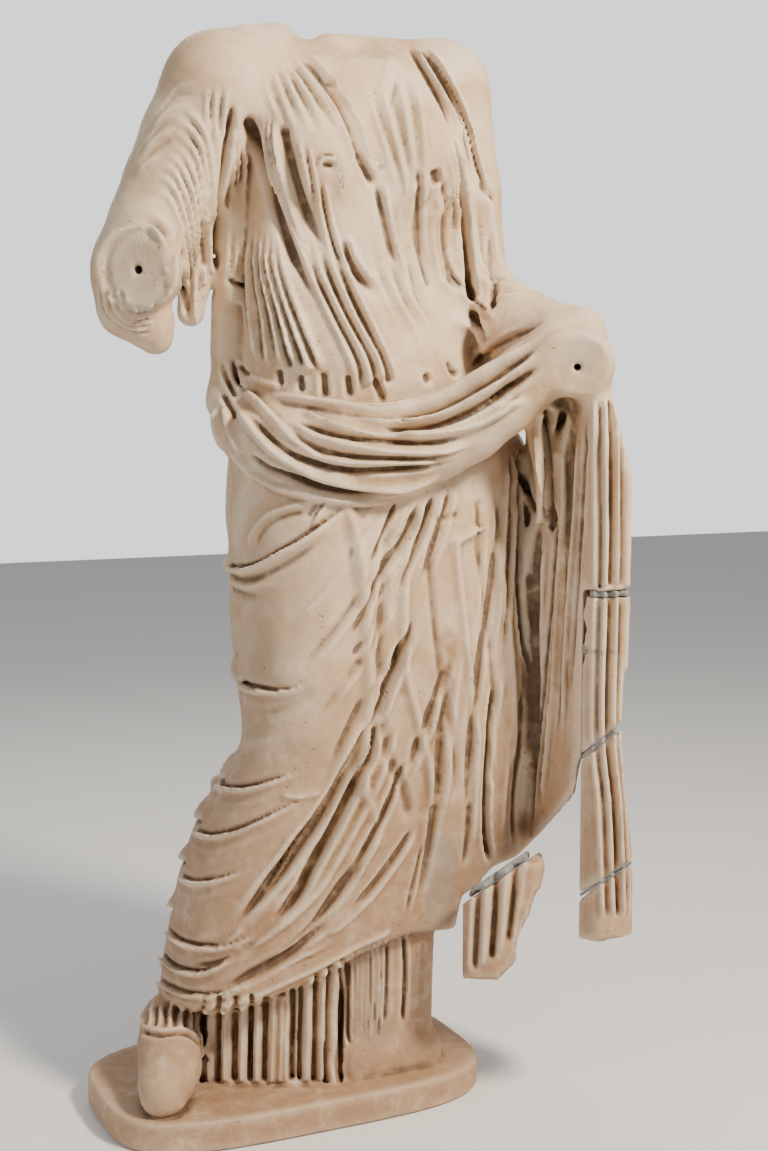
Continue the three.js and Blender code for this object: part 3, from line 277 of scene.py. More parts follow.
@dataclass(frozen=True)
class FigureForm:
    """The figure and its base in broad forms, without folds; negative inside."""

    fall: Loft = Loft([
        [240, 420, -205, 36, 62, 140, 70, 4.0],
        [400, 420, -205, 36, 60, 140, 75, 4.0],
        [560, 418, -210, 34, 40, 132, 100, 4.0],
        [640, 417, -213, 32, 31, 128, 105, 4.5],
        [860, 417, -215, 32, 46, 126, 110, 4.5],
        [1000, 416, -215, 32, 46, 126, 112, 4.5],
        [1075, 414, -215, 32, 36, 126, 112, 4.5],
        [1130, 410, -212, 34, 24, 124, 110, 4.0],
        [1215, 395, -200, 40, 30, 110, 100, 3.0],
    ], 15)
    fall_joint: float = 858.0
    break_face: Plane = Plane([385, -300, 0], [0.68, -0.733, 0])
    arm_cut: Plane = Plane(
        DRAWING.set_out(-228, 1356, -172), DRAWING.to_body(np.array([-0.16, -0.98, -0.06]))
    )
    wrist_break: Plane = Plane(
        DRAWING.set_out(480, 1210, -152), DRAWING.to_body(np.array([-0.10, -0.98, -0.12]))
    )

    def torso(self, points: Array) -> Array:
        """The body from waist to neck, with the shoulders and the hollow of the broken neck."""
        d = Loft([
            [960, 165, 0, 235, 240, 150, 150, 2.2],
            [1071, 160, 0, 225, 235, 150, 150, 2.2],
            [1200, 145, 0, 205, 225, 135, 140, 2.2],
            [1320, 135, 0, 195, 215, 125, 135, 2.2],
            [1420, 130, 0, 195, 205, 120, 130, 2.2],
            [1520, 125, 0, 190, 195, 120, 130, 2.3],
            [1610, 118, 0, 175, 180, 105, 120, 2.3],
            [1665, 120, 5, 140, 150, 85, 95, 2.2],
            [1712, 125, 10, 85, 110, 45, 70, 2.0],
        ], 40)(points)
        neck_root = [115, 20, 1640, 75]
        d = smooth_min(d, Limb([ball(-92, 1635, -48, 90), neck_root])(points), 50)
        d = smooth_min(d, Limb([ball(250, 1632, 112, 80), neck_root])(points), 50)
        d = smooth_min(d, Limb([ball(-45, 1690, -20, 45), ball(-10, 1702, 0, 38)])(points), 30)
        d = smooth_min(d, Ellipsoid([20, -85, 1530], [75, 62, 80])(points), 40)
        d = smooth_min(d, Ellipsoid([200, -85, 1530], [75, 62, 80])(points), 40)
        d = smooth_min(d, Ellipsoid([120, -85, 1215], [110, 80, 95])(points), 60)
        bundle = Limb([ball(-84, 1310, 10, 26), ball(-85, 1230, 20, 27), ball(-82, 1150, 30, 30)])
        edge = Limb([ball(-60, 1600, -40, 28), ball(-70, 1450, -25, 24), ball(-80, 1320, -10, 20)])
        d = smooth_min(d, bundle(points), 15)
        d = smooth_min(d, edge(points), 12)
        neck = Ellipsoid(DRAWING.set_out(148, 1725, -20), [62, 70, 38], DRAWING.turn)
        notch = Limb([ball(44, 1745, -90, 24), ball(46, 1738, 60, 26)])
        d = smooth_max(d, -neck(points), 10)
        return smooth_max(d, -notch(points), 8)

    def skirt(self, points: Array) -> Array:
        """The mantle round the legs, over the bent right leg, down to its slanting hem."""
        loft = Loft([
            [150, -20, 0, 185, 260, 140, 130, 2.3],
            [240, 5, 0, 200, 262, 150, 145, 2.3],
            [325, 45, 0, 225, 400, 160, 150, 2.3],
            [410, 95, 0, 255, 390, 165, 155, 2.4],
            [495, 150, 0, 275, 350, 170, 160, 2.4],
            [604, 205, 0, 265, 300, 172, 165, 2.4],
            [745, 193, 0, 268, 310, 168, 165, 2.4],
            [909, 175, 0, 255, 305, 162, 160, 2.4],
            [1071, 165, 0, 232, 265, 155, 155, 2.3],
            [1120, 162, 5, 215, 240, 140, 145, 2.3],
        ], 45)
        leg = Limb([
            [60, -60, 1000, 112],
            [15, -95, 720, 92],
            [8, -95, 640, 86],
            [-85, -20, 330, 80],
            [-118, 20, 180, 66],
        ])
        return smooth_max(smooth_min(loft(points), leg(points), 60), below_hem(points), 8)

    def right_arm(self, points: Array) -> Array:
        """The sleeved right arm to its cut, with the sleeve's hanging ends."""
        arm = Limb([
            ball(-92, 1635, -40, 90), ball(-133, 1560, -50, 84), ball(-167, 1490, -60, 78),
            ball(-198, 1425, -75, 73), ball(-222, 1370, -85, 70),
        ])
        end = Limb([
            ball(-240, 1335, -90, 58), ball(-236, 1302, -92, 55), ball(-212, 1275, -85, 42),
            ball(-200, 1252, -80, 28),
        ])
        stub = Limb([ball(-224, 1365, -85, 70), ball(-228, 1356, -190, 62)])
        tongue = Limb([
            ball(-118, 1500, -20, 42), ball(-125, 1400, -20, 30), ball(-138, 1330, -15, 24),
            ball(-143, 1290, -10, 22),
        ])
        tip = Limb([ball(-108, 1420, -10, 20), ball(-106, 1347, -5, 17)])
        d = smooth_min(arm(points), end(points), 18)
        d = smooth_min(d, smooth_max(stub(points), self.arm_cut(points), 4), 14)
        return smooth_min(d, np.minimum(tongue(points), tip(points)), 10)

    def left_arm(self, points: Array) -> Array:
        """The left arm, bent forward under the mantle."""
        upper = Limb([
            ball(252, 1632, 112, 80), ball(262, 1560, 112, 80), ball(276, 1480, 112, 78),
            ball(284, 1400, 110, 74), ball(290, 1340, 105, 72),
        ])
        fore = Limb([
            ball(290, 1340, 105, 72), ball(330, 1290, 85, 66), ball(400, 1262, 20, 60),
            ball(455, 1240, -60, 56), ball(480, 1210, -125, 54),
        ])
        cloth = Limb([ball(360, 1255, 0, 45), ball(450, 1262, -70, 36), ball(484, 1264, -100, 34)])
        inner = Limb([ball(424, 1120, -50, 34), ball(432, 1030, -50, 22), ball(432, 960, -45, 16)])
        d = smooth_min(smooth_min(upper(points), fore(points), 20), cloth(points), 20)
        return smooth_min(d, inner(points), 15)

    def roll(self, points: Array) -> Array:
        """The rolled edge of the mantle across the hips."""
        return Limb([
            ball(-88, 1165, 50, 26), ball(-86, 1150, 20, 32), ball(-58, 1112, -25, 46),
            ball(-25, 1085, -68, 58), ball(25, 1070, -92, 62), ball(100, 1063, -103, 66),
            ball(150, 1062, -103, 67), ball(200, 1072, -93, 66), ball(250, 1090, -84, 64),
            ball(300, 1115, -80, 62), ball(350, 1150, -88, 58), ball(400, 1190, -98, 52),
            ball(445, 1225, -108, 48),
        ])(points)

    def footing(self, points: Array) -> Array:
        """The undergarment's lower part, the plain support beside it, the foot and the base."""
        underskirt = Loft([
            [40, -22, 5, 120, 118, 112, 120, 3.5],
            [150, -22, 5, 118, 118, 110, 120, 3.5],
            [340, -10, 5, 130, 150, 115, 120, 3.0],
        ], 10)
        support = Loft([
            [40, 150, -35, 98, 98, 92, 90, 5.0],
            [75, 150, -35, 94, 96, 88, 90, 5.0],
            [120, 148, -35, 84, 84, 78, 90, 5.0],
            [330, 150, -35, 86, 88, 80, 90, 5.0],
        ], 6)
        foot = Limb([
            [-190, 20, 140, 50], [-208, -20, 118, 50], [-220, -62, 98, 49], [-238, -98, 88, 43],
            [-247, -115, 80, 37],
        ])
        d = smooth_min(underskirt(DRAWING.to_drawing(points)), support(points), 6)
        d = smooth_min(d, foot(points), 10)
        level = (np.abs(points[..., 0] / 320) ** 3.6 + np.abs(points[..., 1] / 185) ** 3.6) ** (1 / 3.6)
        base = smooth_max((level - 1) * 185, np.abs(points[..., 2] - 25) - 25, 6)
        return np.minimum(d, base)

    def hanging_fall(self, points: Array) -> Array:
        """What is left of the fall in the block itself, behind its break and above its joint."""
        away = np.minimum(self.break_face(points), self.fall_joint - points[..., 2])
        return smooth_max(smooth_max(self.fall(points), away, 3), below_hem(points), 6)

    def __call__(self, points: Array) -> Array:
        """Measures the distance from points to the whole figure."""
        d = smooth_min(self.torso(points), self.skirt(points), 50)
        d = smooth_min(d, self.right_arm(points), 12)
        d = smooth_min(d, smooth_min(self.left_arm(points), self.hanging_fall(points), 25), 25)
        d = smooth_min(d, self.roll(points), 22)
        near_wrist = (points[..., 2] > 1150) & (points[..., 0] > 250)
        d = smooth_max(d, np.where(near_wrist, self.wrist_break(points), -50), 4)
        return np.minimum(d, self.footing(points))


# -------------------------------------------------------------------------------------------------- folds
class Section(Enum):
    """The cross-section of a fold, from its line outwards."""

    RIDGE = "rounded ridge"
    CREST = "sharp crest"
    GROOVE = "rounded groove"
    CUT = "steep-sided cut"
    LAP = "raised edge that falls away on one side"


@dataclass(frozen=True)
class Fold:
    """One carved line of the drapery.

    Attributes:
        section: Its cross-section.
        path: Drawn points, across and up.
        width: Half its width at the surface.
        height: How far it rises or sinks.
        ends: Shares of its length over which it dies out at its start and end.
        side: The side a lap falls away to, 1 or -1.
        spread: How many half widths a lap falls away over.
        turn: Turn of the drawing about the vertical, in degrees, for the sides and the back.
    """

    FARTHEST: ClassVar[float] = 420.0  # depth in front of and behind the drawing that lines of sight search
    STEPS: ClassVar[int] = 60
    TOUCH: ClassVar[float] = 0.8  # distance at which a line of sight has met the form
    section: Section
    path: Path2
    width: float
    height: float
    ends: tuple[float, float] = (0.15, 0.25)
    side: int = 1
    spread: float = 1.0
    turn: float = 0.0

    def line(self, step: float = 7.0) -> Array:
        """Runs a smooth curve through the drawn points."""
        points = np.array(self.path, float)
        if len(points) == 2:
            count = max(2, int(np.linalg.norm(points[1] - points[0]) / step) + 1)
            t = np.linspace(0, 1, count)[:, None]
            return points[0] * (1 - t) + points[1] * t
        padded = np.vstack([2 * points[0] - points[1], points, 2 * points[-1] - points[-2]])
        pieces = []
        for a, b, c, d in zip(padded[:-3], padded[1:-2], padded[2:-1], padded[3:]):
            count = max(2, int(np.linalg.norm(c - b) / step) + 1)
            t = np.linspace(0, 1, count, endpoint=False)[:, None]
            cubic = (2 * a - 5 * b + 4 * c - d) * t * t + (3 * b - a - 3 * c + d) * t**3
            pieces.append(0.5 * (2 * b + (c - a) * t + cubic))
        return np.vstack([*pieces, points[-1:]])

    def carried(self, form: Field) -> Array:
        """Carries the curve to the form along the lines of sight.

        Args:
            form: The distance field it lands on.

        Returns:
            The points that meet the form, in the figure's axes.
        """
        line = self.line()
        c, s = math.cos(math.radians(self.turn)), math.sin(math.radians(self.turn))
        middle = DRAWING.across if self.turn == 0 else 0.0

        def place(depth: Array) -> Array:
            """Finds the point at a depth on each line of sight."""
            reach = (DRAWING.distance + depth) / DRAWING.distance
            x = middle + (line[:, 0] - middle) * reach
            z = DRAWING.height + (line[:, 1] - DRAWING.height) * reach
            return DRAWING.to_body(np.stack([x * c - depth * s, x * s + depth * c, z], -1))

        depth = np.full(len(line), -self.FARTHEST)
        landed = np.zeros(len(line), bool)
        for _ in range(self.STEPS):
            d = form(place(depth))
            landed |= d < self.TOUCH
            depth = np.where(landed, depth, depth + np.maximum(d * 0.85, self.TOUCH))
            if (landed | (depth > self.FARTHEST)).all():
                break
        return place(depth)[landed & (depth < self.FARTHEST)]


def ridge(path: Path2, width: float, height: float, **more: object) -> Fold:
    """Makes a rounded ridge."""
    return Fold(Section.RIDGE, path, width, height, **more)


def crest(path: Path2, width: float, height: float, **more: object) -> Fold:
    """Makes a sharp crest."""
    return Fold(Section.CREST, path, width, height, **more)


def groove(path: Path2, width: float, height: float, **more: object) -> Fold:
    """Makes a rounded groove."""
    return Fold(Section.GROOVE, path, width, height, **more)


def cut(path: Path2, width: float, height: float, **more: object) -> Fold:
    """Makes a steep-sided cut."""
    return Fold(Section.CUT, path, width, height, **more)


def lap(path: Path2, width: float, height: float, **more: object) -> Fold:
    """Makes a raised edge that falls away on one side."""
    return Fold(Section.LAP, path, width, height, **more)


def moved(path: Path2, across: float, up: float) -> list[tuple[float, float]]:
    """Moves a drawn line."""
    return [(a + across, b + up) for a, b in path]


def family(first: Path2, last: Path2, count: int, wander: float = 0.3) -> list[list[tuple[float, float]]]:
    """Spaces lines between two drawn ones, a little unevenly.

    Args:
        first: One outer line.
        last: The other outer line, with the same number of points.
        count: How many lines to make, the outer ones among them.
        wander: Unevenness as a share of the spacing.

    Returns:
        The lines.
    """
    lines = []
    for index in range(count):
        lines.append([])
        for k, (a, b) in enumerate(zip(first, last)):
            uneven = math.sin(12.9 * index + 4.1 * k + 7.3 * count) * wander
            t = (index + uneven * (0 < index < count - 1)) / (count - 1)
            lines[-1].append((a[0] + (b[0] - a[0]) * t, a[1] + (b[1] - a[1]) * t))
    return lines


def piping(first: Path2, last: Path2, count: int, width: float, height: float,
           ends: tuple[float, float] = (0.2, 0.2), turn: float = 0.0) -> list[Fold]:
    """Makes a family of rounded ridges with grooves between them.

    Args:
        first: One outer line.
        last: The other outer line.
        count: How many crests.
        width: Half the width of a crest.
        height: How high it stands.
        ends: Shares over which the folds die out.
        turn: Turn of the drawing, in degrees.

    Returns:
        The folds.
    """
    lines = family(first, last, 2 * count - 1)
    folds = []
    for index, line in enumerate(lines):
        size = 1 + 0.3 * math.sin(5.7 * index + count)
        shares = (min(ends[0] * (1.3 + math.sin(3.1 * index)), 0.45),
                  min(ends[1] * (1.3 + math.cos(4.3 * index)), 0.45))
        if index % 2 == 0:
            folds.append(ridge(line, width * 1.15 * size, height * size, ends=shares, turn=turn))
        else:
            folds.append(groove(line, width * 0.95 * size, height * 0.75 * size, ends=shares, turn=turn))
    return folds


def at(numbers: str) -> list[tuple[float, float]]:
    """Reads a drawn line from its numbers, across and up in turn."""
    values = [float(number) for number in numbers.split()]
    return list(zip(values[::2], values[1::2]))


@dataclass(frozen=True)
class Drapery:
    """Every fold of the undergarment and the mantle, as drawn from the front and from the other sides."""

    def bodice(self) -> list[Fold]:
        """The undergarment over the breast, with the mantle lying on the left shoulder."""
        return [
            # the slit beside the sleeve, and the piped band between it and the breast
            cut(at("-72 1625 -76 1585 -84 1535 -92 1480 -98 1430 -101 1380 -101 1350"), 9, 24, ends=(0.15,
                0.1)),
            cut(at("-122 1452 -121 1400 -119 1352"), 7.5, 16, ends=(0.3, 0.1)),
            cut(at("-153 1410 -154 1340 -150 1280"), 8, 14, ends=(0.3, 0.1)),
            *piping(at("-69 1622 -72 1500 -84 1340"), at("-54 1600 -58 1500 -64 1345"), 3, 6, 6),
            cut(at("-59 1355 -57 1310 -52 1255"), 6, 16),
            cut(at("-88 1345 -60 1330 -48 1318"), 6, 12),
            # the hollows that fan from the right shoulder round the breast
            groove(at("-49 1602 -43 1565 -30 1522 -19 1490 -4 1447 13 1404 32 1355 58 1300"), 17, 20,
                ends=(0.06, 0.35)),
            cut(at("-46 1596 -42 1560 -34 1525 -22 1480"), 7, 10, ends=(0.1, 0.5)),
            groove(at("2 1590 12 1543 22 1500 36 1460 52 1425 70 1380"), 15, 17, ends=(0.06, 0.4)),
            cut(at("-1 1578 5 1535 14 1490"), 6, 9, ends=(0.1, 0.5)),
            *piping(at("-26 1615 -18 1540 -6 1480 14 1420 40 1345"),
                at("-10 1610 -4 1540 8 1480 28 1420 62 1345"), 3, 6.5, 8, (0.2, 0.3)),
            *piping(at("30 1572 40 1520 56 1450"), at("44 1560 52 1520 64 1450"), 2, 6, 6),
            lap(at("57 1508 60 1526 75 1535 92 1530 98 1500 101 1462"), 7, 8, side=1, spread=1.6),
            groove(at("66 1516 78 1522 90 1515"), 8, 9),
            *piping(at("58 1508 64 1455 78 1400 100 1350"), at("70 1508 76 1455 92 1400 118 1345"), 2, 7,
                8),
            # folds from the neck between the breasts
            groove(at("27 1693 59 1663 91 1618 113 1580 126 1543 145 1506"), 9, 9),
            crest(at("38 1700 72 1668 104 1622 126 1582 138 1545 155 1510"), 9, 10),
            crest(at("16 1690 46 1660 80 1618 100 1582 112 1545 125 1506"), 8, 7),
            groove(at("6 1690 36 1656 70 1612 92 1575 102 1545"), 7, 5),
            cut(at("122 1545 138 1514 152 1484"), 9, 12),
            lap(at("147 1545 158 1520 166 1505"), 6, 6),
            groove(at("152 1495 163 1447 177 1388 190 1361"), 8, 9),
            crest(at("166 1500 174 1447 188 1388 204 1345 216 1310"), 8, 8),
            groove(at("59 1656 91 1640 113 1621"), 7, 5),
            crest(at("178 1690 165 1650 150 1620"), 7, 4),
            groove(at("190 1680 184 1640 172 1600"), 6, 4),
            *piping(at("-30 1700 -20 1640 0 1590 20 1560"), at("20 1695 50 1650 80 1605 98 1565"), 5, 7, 4,
                (0.3, 0.35)),
            *piping(at("120 1680 150 1600 175 1520 190 1450"), at("200 1690 222 1620 232 1550 236 1480"),
                4, 7, 4, (0.3, 0.35)),
            # from the left breast
            groove(at("214 1527 221 1490 219 1440 222 1390 232 1350"), 7, 8),
            crest(at("224 1530 231 1490 229 1440 233 1390 243 1350"), 8, 7),
            cut(at("247 1516 253 1486"), 11, 14, ends=(0.02, 0.1)),
            groove(at("260 1508 263 1460 262 1400 268 1350"), 7, 9),
            crest(at("250 1480 251 1430 250 1370"), 7, 6),
            crest(at("196 1520 201 1480 200 1430"), 6, 4),
            # the slit under the mantle's edge and the crossing folds at its foot
            cut(at("276 1580 283 1545 288 1511 291 1458 296 1404 303 1340 309 1302"), 10, 36, ends=(0.2,
                0.05)),
            crest(at("268 1550 273 1500 276 1440 281 1380 292 1330"), 7, 8),
            cut(at("276 1480 277 1445 276 1410"), 5, 10),
            lap(at("266 1400 272 1362 286 1338 312 1312 345 1282"), 8, 9, side=-1, spread=2),
            crest(at("280 1330 300 1312 330 1290 352 1275"), 7, 7),
            cut(at("300 1300 315 1270 330 1230"), 10, 20),
            # the mantle's doubled edge on the left shoulder
            groove(at("203 1708 222 1677 244 1640 262 1607 275 1570"), 8, 11),
            crest(at("212 1708 232 1675 255 1637 273 1603 286 1568 296 1530"), 8, 9),
            cut(at("218 1706 248 1668 272 1622 288 1582 299 1545 308 1505"), 8, 13),
            lap(at("228 1706 260 1665 284 1618 299 1578 310 1538 322 1500 345 1460"), 8, 10, side=-1,
                spread=3),
            groove(at("318 1500 330 1478 345 1462"), 11, 9),
            crest(at("308 1500 312 1440 318 1380 324 1320"), 9, 6),
            groove(at("334 1420 338 1360 342 1300"), 9, 7),
            cut(at("345 1345 340 1320 337 1290"), 8, 14),
        ]

    def belly(self) -> list[Fold]:
        """Folds fanning from under the breasts to the roll."""
        return [
            *piping(at("-46 1440 -50 1360 -46 1280 -38 1205"), at("-6 1420 8 1350 34 1280 70 1192"), 6,
                8.5, 9.5, (0.25, 0.06)),
            *piping(at("30 1420 46 1360 76 1290 112 1215 124 1168"),
                at("88 1410 108 1350 140 1285 172 1215 186 1175"), 4, 9, 9.5, (0.3, 0.06)),
            cut(at("98 1410 108 1377 129 1345 158 1316"), 9, 14, ends=(0.25, 0.4)),
            crest(at("108 1418 120 1380 141 1350 168 1320"), 8, 8),
            *piping(at("128 1440 140 1380 168 1310 196 1250 206 1195"),
                at("212 1420 218 1370 232 1320 262 1262 280 1225"), 4, 8, 3.5, (0.4, 0.3)),
            cut(at("150 1190 160 1165 168 1145"), 8, 12),
            cut(at("68 1200 72 1150"), 8, 11),
            cut(at("108 1195 112 1150"), 8, 11),
            cut(at("30 1195 34 1160"), 7, 10),
            cut(at("-5 1205 2 1165"), 7, 10),
            cut(at("232 1195 240 1175"), 9, 11),
            cut(at("268 1215 276 1195 290 1192"), 7, 9),
        ]

    def sleeve(self) -> list[Fold]:
        """Curved folds of the sleeve and creases along its hanging end."""
        folds = [
            *piping(at("-176 1612 -145 1606 -118 1570 -107 1500 -110 1440"),
                at("-212 1487 -180 1474 -160 1440 -150 1390 -146 1330"), 8, 7, 6.5, (0.35, 0.12)),
            *piping(at("-196 1600 -160 1640 -110 1650"), at("-232 1500 -215 1520 -180 1540"), 4, 7, 4,
                (0.3, 0.3)),
            *piping(at("-226 1450 -196 1442 -172 1415 -165 1370"),
                at("-246 1420 -205 1425 -186 1390 -178 1340"), 2, 7, 4, (0.3, 0.2)),
            *piping(at("-110 1650 -114 1600 -104 1540"), at("-80 1650 -86 1590 -92 1540"), 3, 6, 4),
            *piping(at("-132 1430 -131 1380 -138 1300"), at("-112 1430 -110 1390 -108 1350"), 3, 5.5, 5,
                (0.2, 0.04)),
            *piping(at("-148 1400 -150 1330 -160 1272"), at("-136 1400 -138 1330 -134 1262"), 2, 5.5, 5,
                (0.2, 0.04)),
        ]
        rim = [(-228 + 50 * math.cos(a / 10), 1357 + 63 * math.sin(a / 10)) for a in range(0, 64, 5)]
        folds.append(groove(rim, 10, 5, ends=(0.01, 0.01)))
        for inset in (6, 18, 30, 42):
            path = [(-298 + inset, 1338 - inset * 0.2), (-290 + inset, 1290 + inset * 0.1),
                    (-262 + inset * 0.6, 1262 + inset * 0.6), (-232, 1252 + inset * 0.75),
                    (-205, 1256 + inset * 0.85)]
            folds.append(cut(path, 5, 5.5, ends=(0.1, 0.05)))
            folds.append(crest(moved(path, 6, 5), 5.5, 3.5, ends=(0.1, 0.05)))
        return folds

    def hip_roll(self) -> list[Fold]:
        """Strands and valleys of the rolled edge."""
        return [
            ridge(at("-97 1108 -77 1070 -52 1040 -25 1023 0 1010 50 998 100 990 150 988 205 990"), 13, 12),
            cut(at("-62 1072 -25 1042 15 1027 60 1012 100 1004 150 1003 200 1005 246 1012"), 9, 20),
            ridge(at("-77 1142 -50 1110 -25 1082 0 1062 50 1035 100 1021 150 1014 200 1012 240 1021 280 "
                "1034"), 15, 17),
            crest(at("-40 1092 0 1052 60 1028 140 1016 220 1016"), 7, 5),
            cut(at("-57 1132 -20 1092 10 1067 50 1051 85 1041 120 1037 180 1039 230 1043 292 1056"), 7, 14),
            ridge(at("-62 1167 -25 1132 0 1107 40 1074 70 1054 92 1036"), 12, 14),
            crest(at("-10 1100 30 1070 100 1052 170 1050 240 1052 300 1062"), 9, 10),
            groove(at("-8 1112 40 1080 100 1062 170 1058 240 1060 300 1068"), 7, 9),
            ridge(at("0 1122 50 1092 100 1079 150 1070 200 1066 250 1067 300 1077 324 1087"), 12, 15),
            cut(at("20 1122 60 1104 110 1091 150 1089 200 1083 250 1083 312 1094"), 6, 12),
            crest(at("30 1136 60 1119 100 1106 140 1094 180 1090"), 10, 12),
            ridge(at("170 1098 220 1095 270 1100 320 1114 370 1142 412 1170"), 10, 14),
            cut(at("158 1106 200 1107 250 1114 300 1132 350 1160 400 1194 425 1212"), 9, 28),
            ridge(at("108 1124 160 1113 200 1114 250 1124 300 1147 350 1178 400 1214 430 1234"), 8, 12),
            cut(at("183 1125 230 1131 280 1151 330 1181 380 1215 420 1243"), 10, 28),
            ridge(at("-22 1162 50 1148 100 1136 150 1128 200 1134 250 1150 300 1177 350 1208 400 1242 440 "
                "1264"), 12, 14),
            crest(at("20 1160 90 1146 150 1140 210 1148 270 1170 330 1205 390 1244"), 8, 7),
            groove(at("300 1200 350 1236 400 1266 440 1282"), 8, 7),
            crest(at("300 1214 350 1250 400 1278"), 8, 5),
            # the knot of small folds at the right hip
            *piping(at("-100 1215 -92 1180 -78 1150"), at("-70 1225 -62 1190 -52 1165"), 3, 7, 8),
            *piping(at("-108 1150 -100 1090 -78 1040"), at("-92 1150 -82 1100 -60 1058"), 2, 8, 8),
            cut(at("-72 1212 -58 1196 -40 1192"), 6, 10),
            cut(at("-96 1168 -84 1140 -70 1118"), 7, 14),
            crest(at("-60 1205 -40 1186 -10 1176 20 1172"), 8, 8),
        ]

    def bent_leg(self) -> list[Fold]:
        """Cloth drawn tight over the bent leg, in crescents from its outer side."""
        folds = [
            lap(at("-104 902 -90 886 -70 878 -45 883 -10 901 40 931 80 960 118 988"), 12, 15, ends=(0.02,
                0.3), side=1, spread=2.6),
            groove(at("-98 876 -70 862 -40 866 0 884 45 912 90 945"), 14, 9),
            crest(at("-86 862 -56 849 -20 851 8 854"), 12, 7, ends=(0.02, 0.4)),
            groove(at("-86 846 -56 834 -20 836"), 12, 5, ends=(0.02, 0.4)),
            crest(at("-56 905 -47 938 -25 963 12 978 60 986"), 7, 7),
            groove(at("-45 905 -37 932 -17 953 15 966 60 974"), 8, 5),
            lap(at("46 948 55 962 66 978 80 990"), 7, 8, spread=1.6),
            groove(at("40 960 50 975 62 986"), 7, 6),
        ]
        crescents = (
            (at("-99 722 -82 700 -57 685 -28 678 15 680"), 11, 14),
            (at("-127 532 -110 520 -85 514 -58 515 -33 522 0 533"), 11, 14),
            (at("-162 457 -147 443 -125 435 -95 438 -60 450 -20 470 15 488"), 10, 13),
            (at("-184 380 -167 362 -145 356 -120 358 -100 364"), 10, 12),
            (at("-199 292 -191 270 -175 255 -150 247 -110 245 -75 255"), 10, 13),
            (at("-208 243 -195 220 -176 207 -150 201 -125 205 -98 222 -60 252"), 9, 13),
            (at("-222 214 -212 192 -190 174 -160 164 -120 162 -80 176 -30 205"), 9, 11),
        )
        for drawn, width, height in crescents:
            (left, low), (right, high) = drawn[0], drawn[-1]
            path = [(left - 8, low + 8), *drawn, (right + 55, high + 22)]
            folds.append(lap(path, width, height, ends=(0.02, 0.6), side=1, spread=3.0))
            folds.append(groove(moved(path, 0, -14), 13, 6, ends=(0.02, 0.6)))
        folds += [
            groove(at("-105 770 -92 745 -70 735"), 16, 5, ends=(0.02, 0.5)),
            crest(at("-10 506 20 500 50 504 74 518"), 9, 7),
            groove(at("-30 640 10 650 60 690"), 18, 4),
            crest(at("-80 600 -40 590 10 600"), 20, 3),
            crest(at("155 985 112 905 55 825 5 778"), 12, 6),
            groove(at("142 955 104 893 60 838 20 800"), 10, 6),
            crest(at("175 900 130 820 80 752 30 700"), 12, 6),
            groove(at("150 880 108 810 60 750 20 712"), 10, 5),
            crest(at("190 830 150 750 110 690 70 640"), 13, 7),
            groove(at("160 780 120 715 85 665 50 620"), 11, 6),
            crest(at("185 745 160 690 136 640 112 595 90 555 72 520 52 505"), 12, 13),
            groove(at("150 700 120 640 96 590 74 545"), 10, 7),
        ]
        return folds

    def between_legs(self) -> list[Fold]:
        """Deep diagonals that run from the left hip to the right ankle."""
        return [
            cut(at("224 990 203 935 176 893 152 850 130 803 108 765"), 9, 24),
            cut(at("190 990 172 950 158 915 140 880"), 6, 14),
            crest(at("205 990 188 945 168 905 150 872"), 7, 10),
            cut(at("248 1003 226 933 203 880 188 830"), 8, 20),
            crest(at("236 1000 214 935 190 885 170 840 150 795"), 7, 10),
            crest(at("262 1008 244 940 222 880 208 835"), 8, 10),
            groove(at("274 1012 256 945 238 890 225 850"), 7, 10),
            crest(at("286 1014 270 945 252 890 240 855"), 8, 7),
            groove(at("150 800 132 762 110 728"), 7, 8),
            cut(at("217 802 197 750 177 700 158 650 136 605 112 560 90 515 60 465 30 425 2 385 -30 345 "
                "-62 305 -97 268"), 13, 38, ends=(0.12, 0.22)),
            ridge(at("172 684 152 632 129 586 106 540 80 495 50 450 18 405 -9 365 -38 330 -72 292"), 6, 17),
            cut(at("166 650 148 585 124 532 99 482 73 431 46 381 26 341 0 306 -27 288"), 12, 32,
                ends=(0.15, 0.15)),
            ridge(at("196 640 170 560 135 480 99 414 64 354 28 312 -18 272 -60 241 -104 214"), 14, 12),
            cut(at("202 566 186 520 166 472 150 440 128 400 104 362"), 6.5, 18),
            groove(at("138 412 112 368 86 326 50 272 12 234 -30 206 -78 182 -118 172"), 20, 22, ends=(0.25,
                0.2)),
            crest(at("172 455 150 415 122 366 94 322 62 284 30 256 -8 230 -50 208"), 9, 12),
            crest(at("-62 286 -88 258 -116 240 -150 232"), 8, 6),
            groove(at("-40 262 -78 232 -120 216 -160 214"), 9, 8),
            cut(at("217 452 192 411 163 370 132 330 104 300"), 7, 10),
            crest(at("224 446 200 405 170 362 140 324 112 296 70 262 20 232"), 9, 8),
            groove(at("90 276 50 246 10 224 -30 206"), 8, 7),
            # the rolled border along the hem
            ridge(at("-226 205 -212 176 -190 158 -150 147 -100 146 -60 155 0 184 60 213 120 246 185 276"),
                9, 8, ends=(0.02, 0.05)),
            groove(at("-205 186 -170 168 -130 163 -90 166 -50 176 0 203 60 233 120 266"), 6, 6),
            # the loose panel's edge and its stained channel
            crest(at("285 745 272 690 240 600 215 540 200 500"), 9, 9),
            groove(at("272 730 248 660 224 600 206 540"), 10, 12),
            groove(at("280 752 264 649 255 535 243 422 226 340 210 290"), 13, 12),
            crest(at("296 760 282 649 273 535 262 440"), 11, 7),
            cut(at("232 425 222 380 210 330 202 292"), 5, 9),
        ]

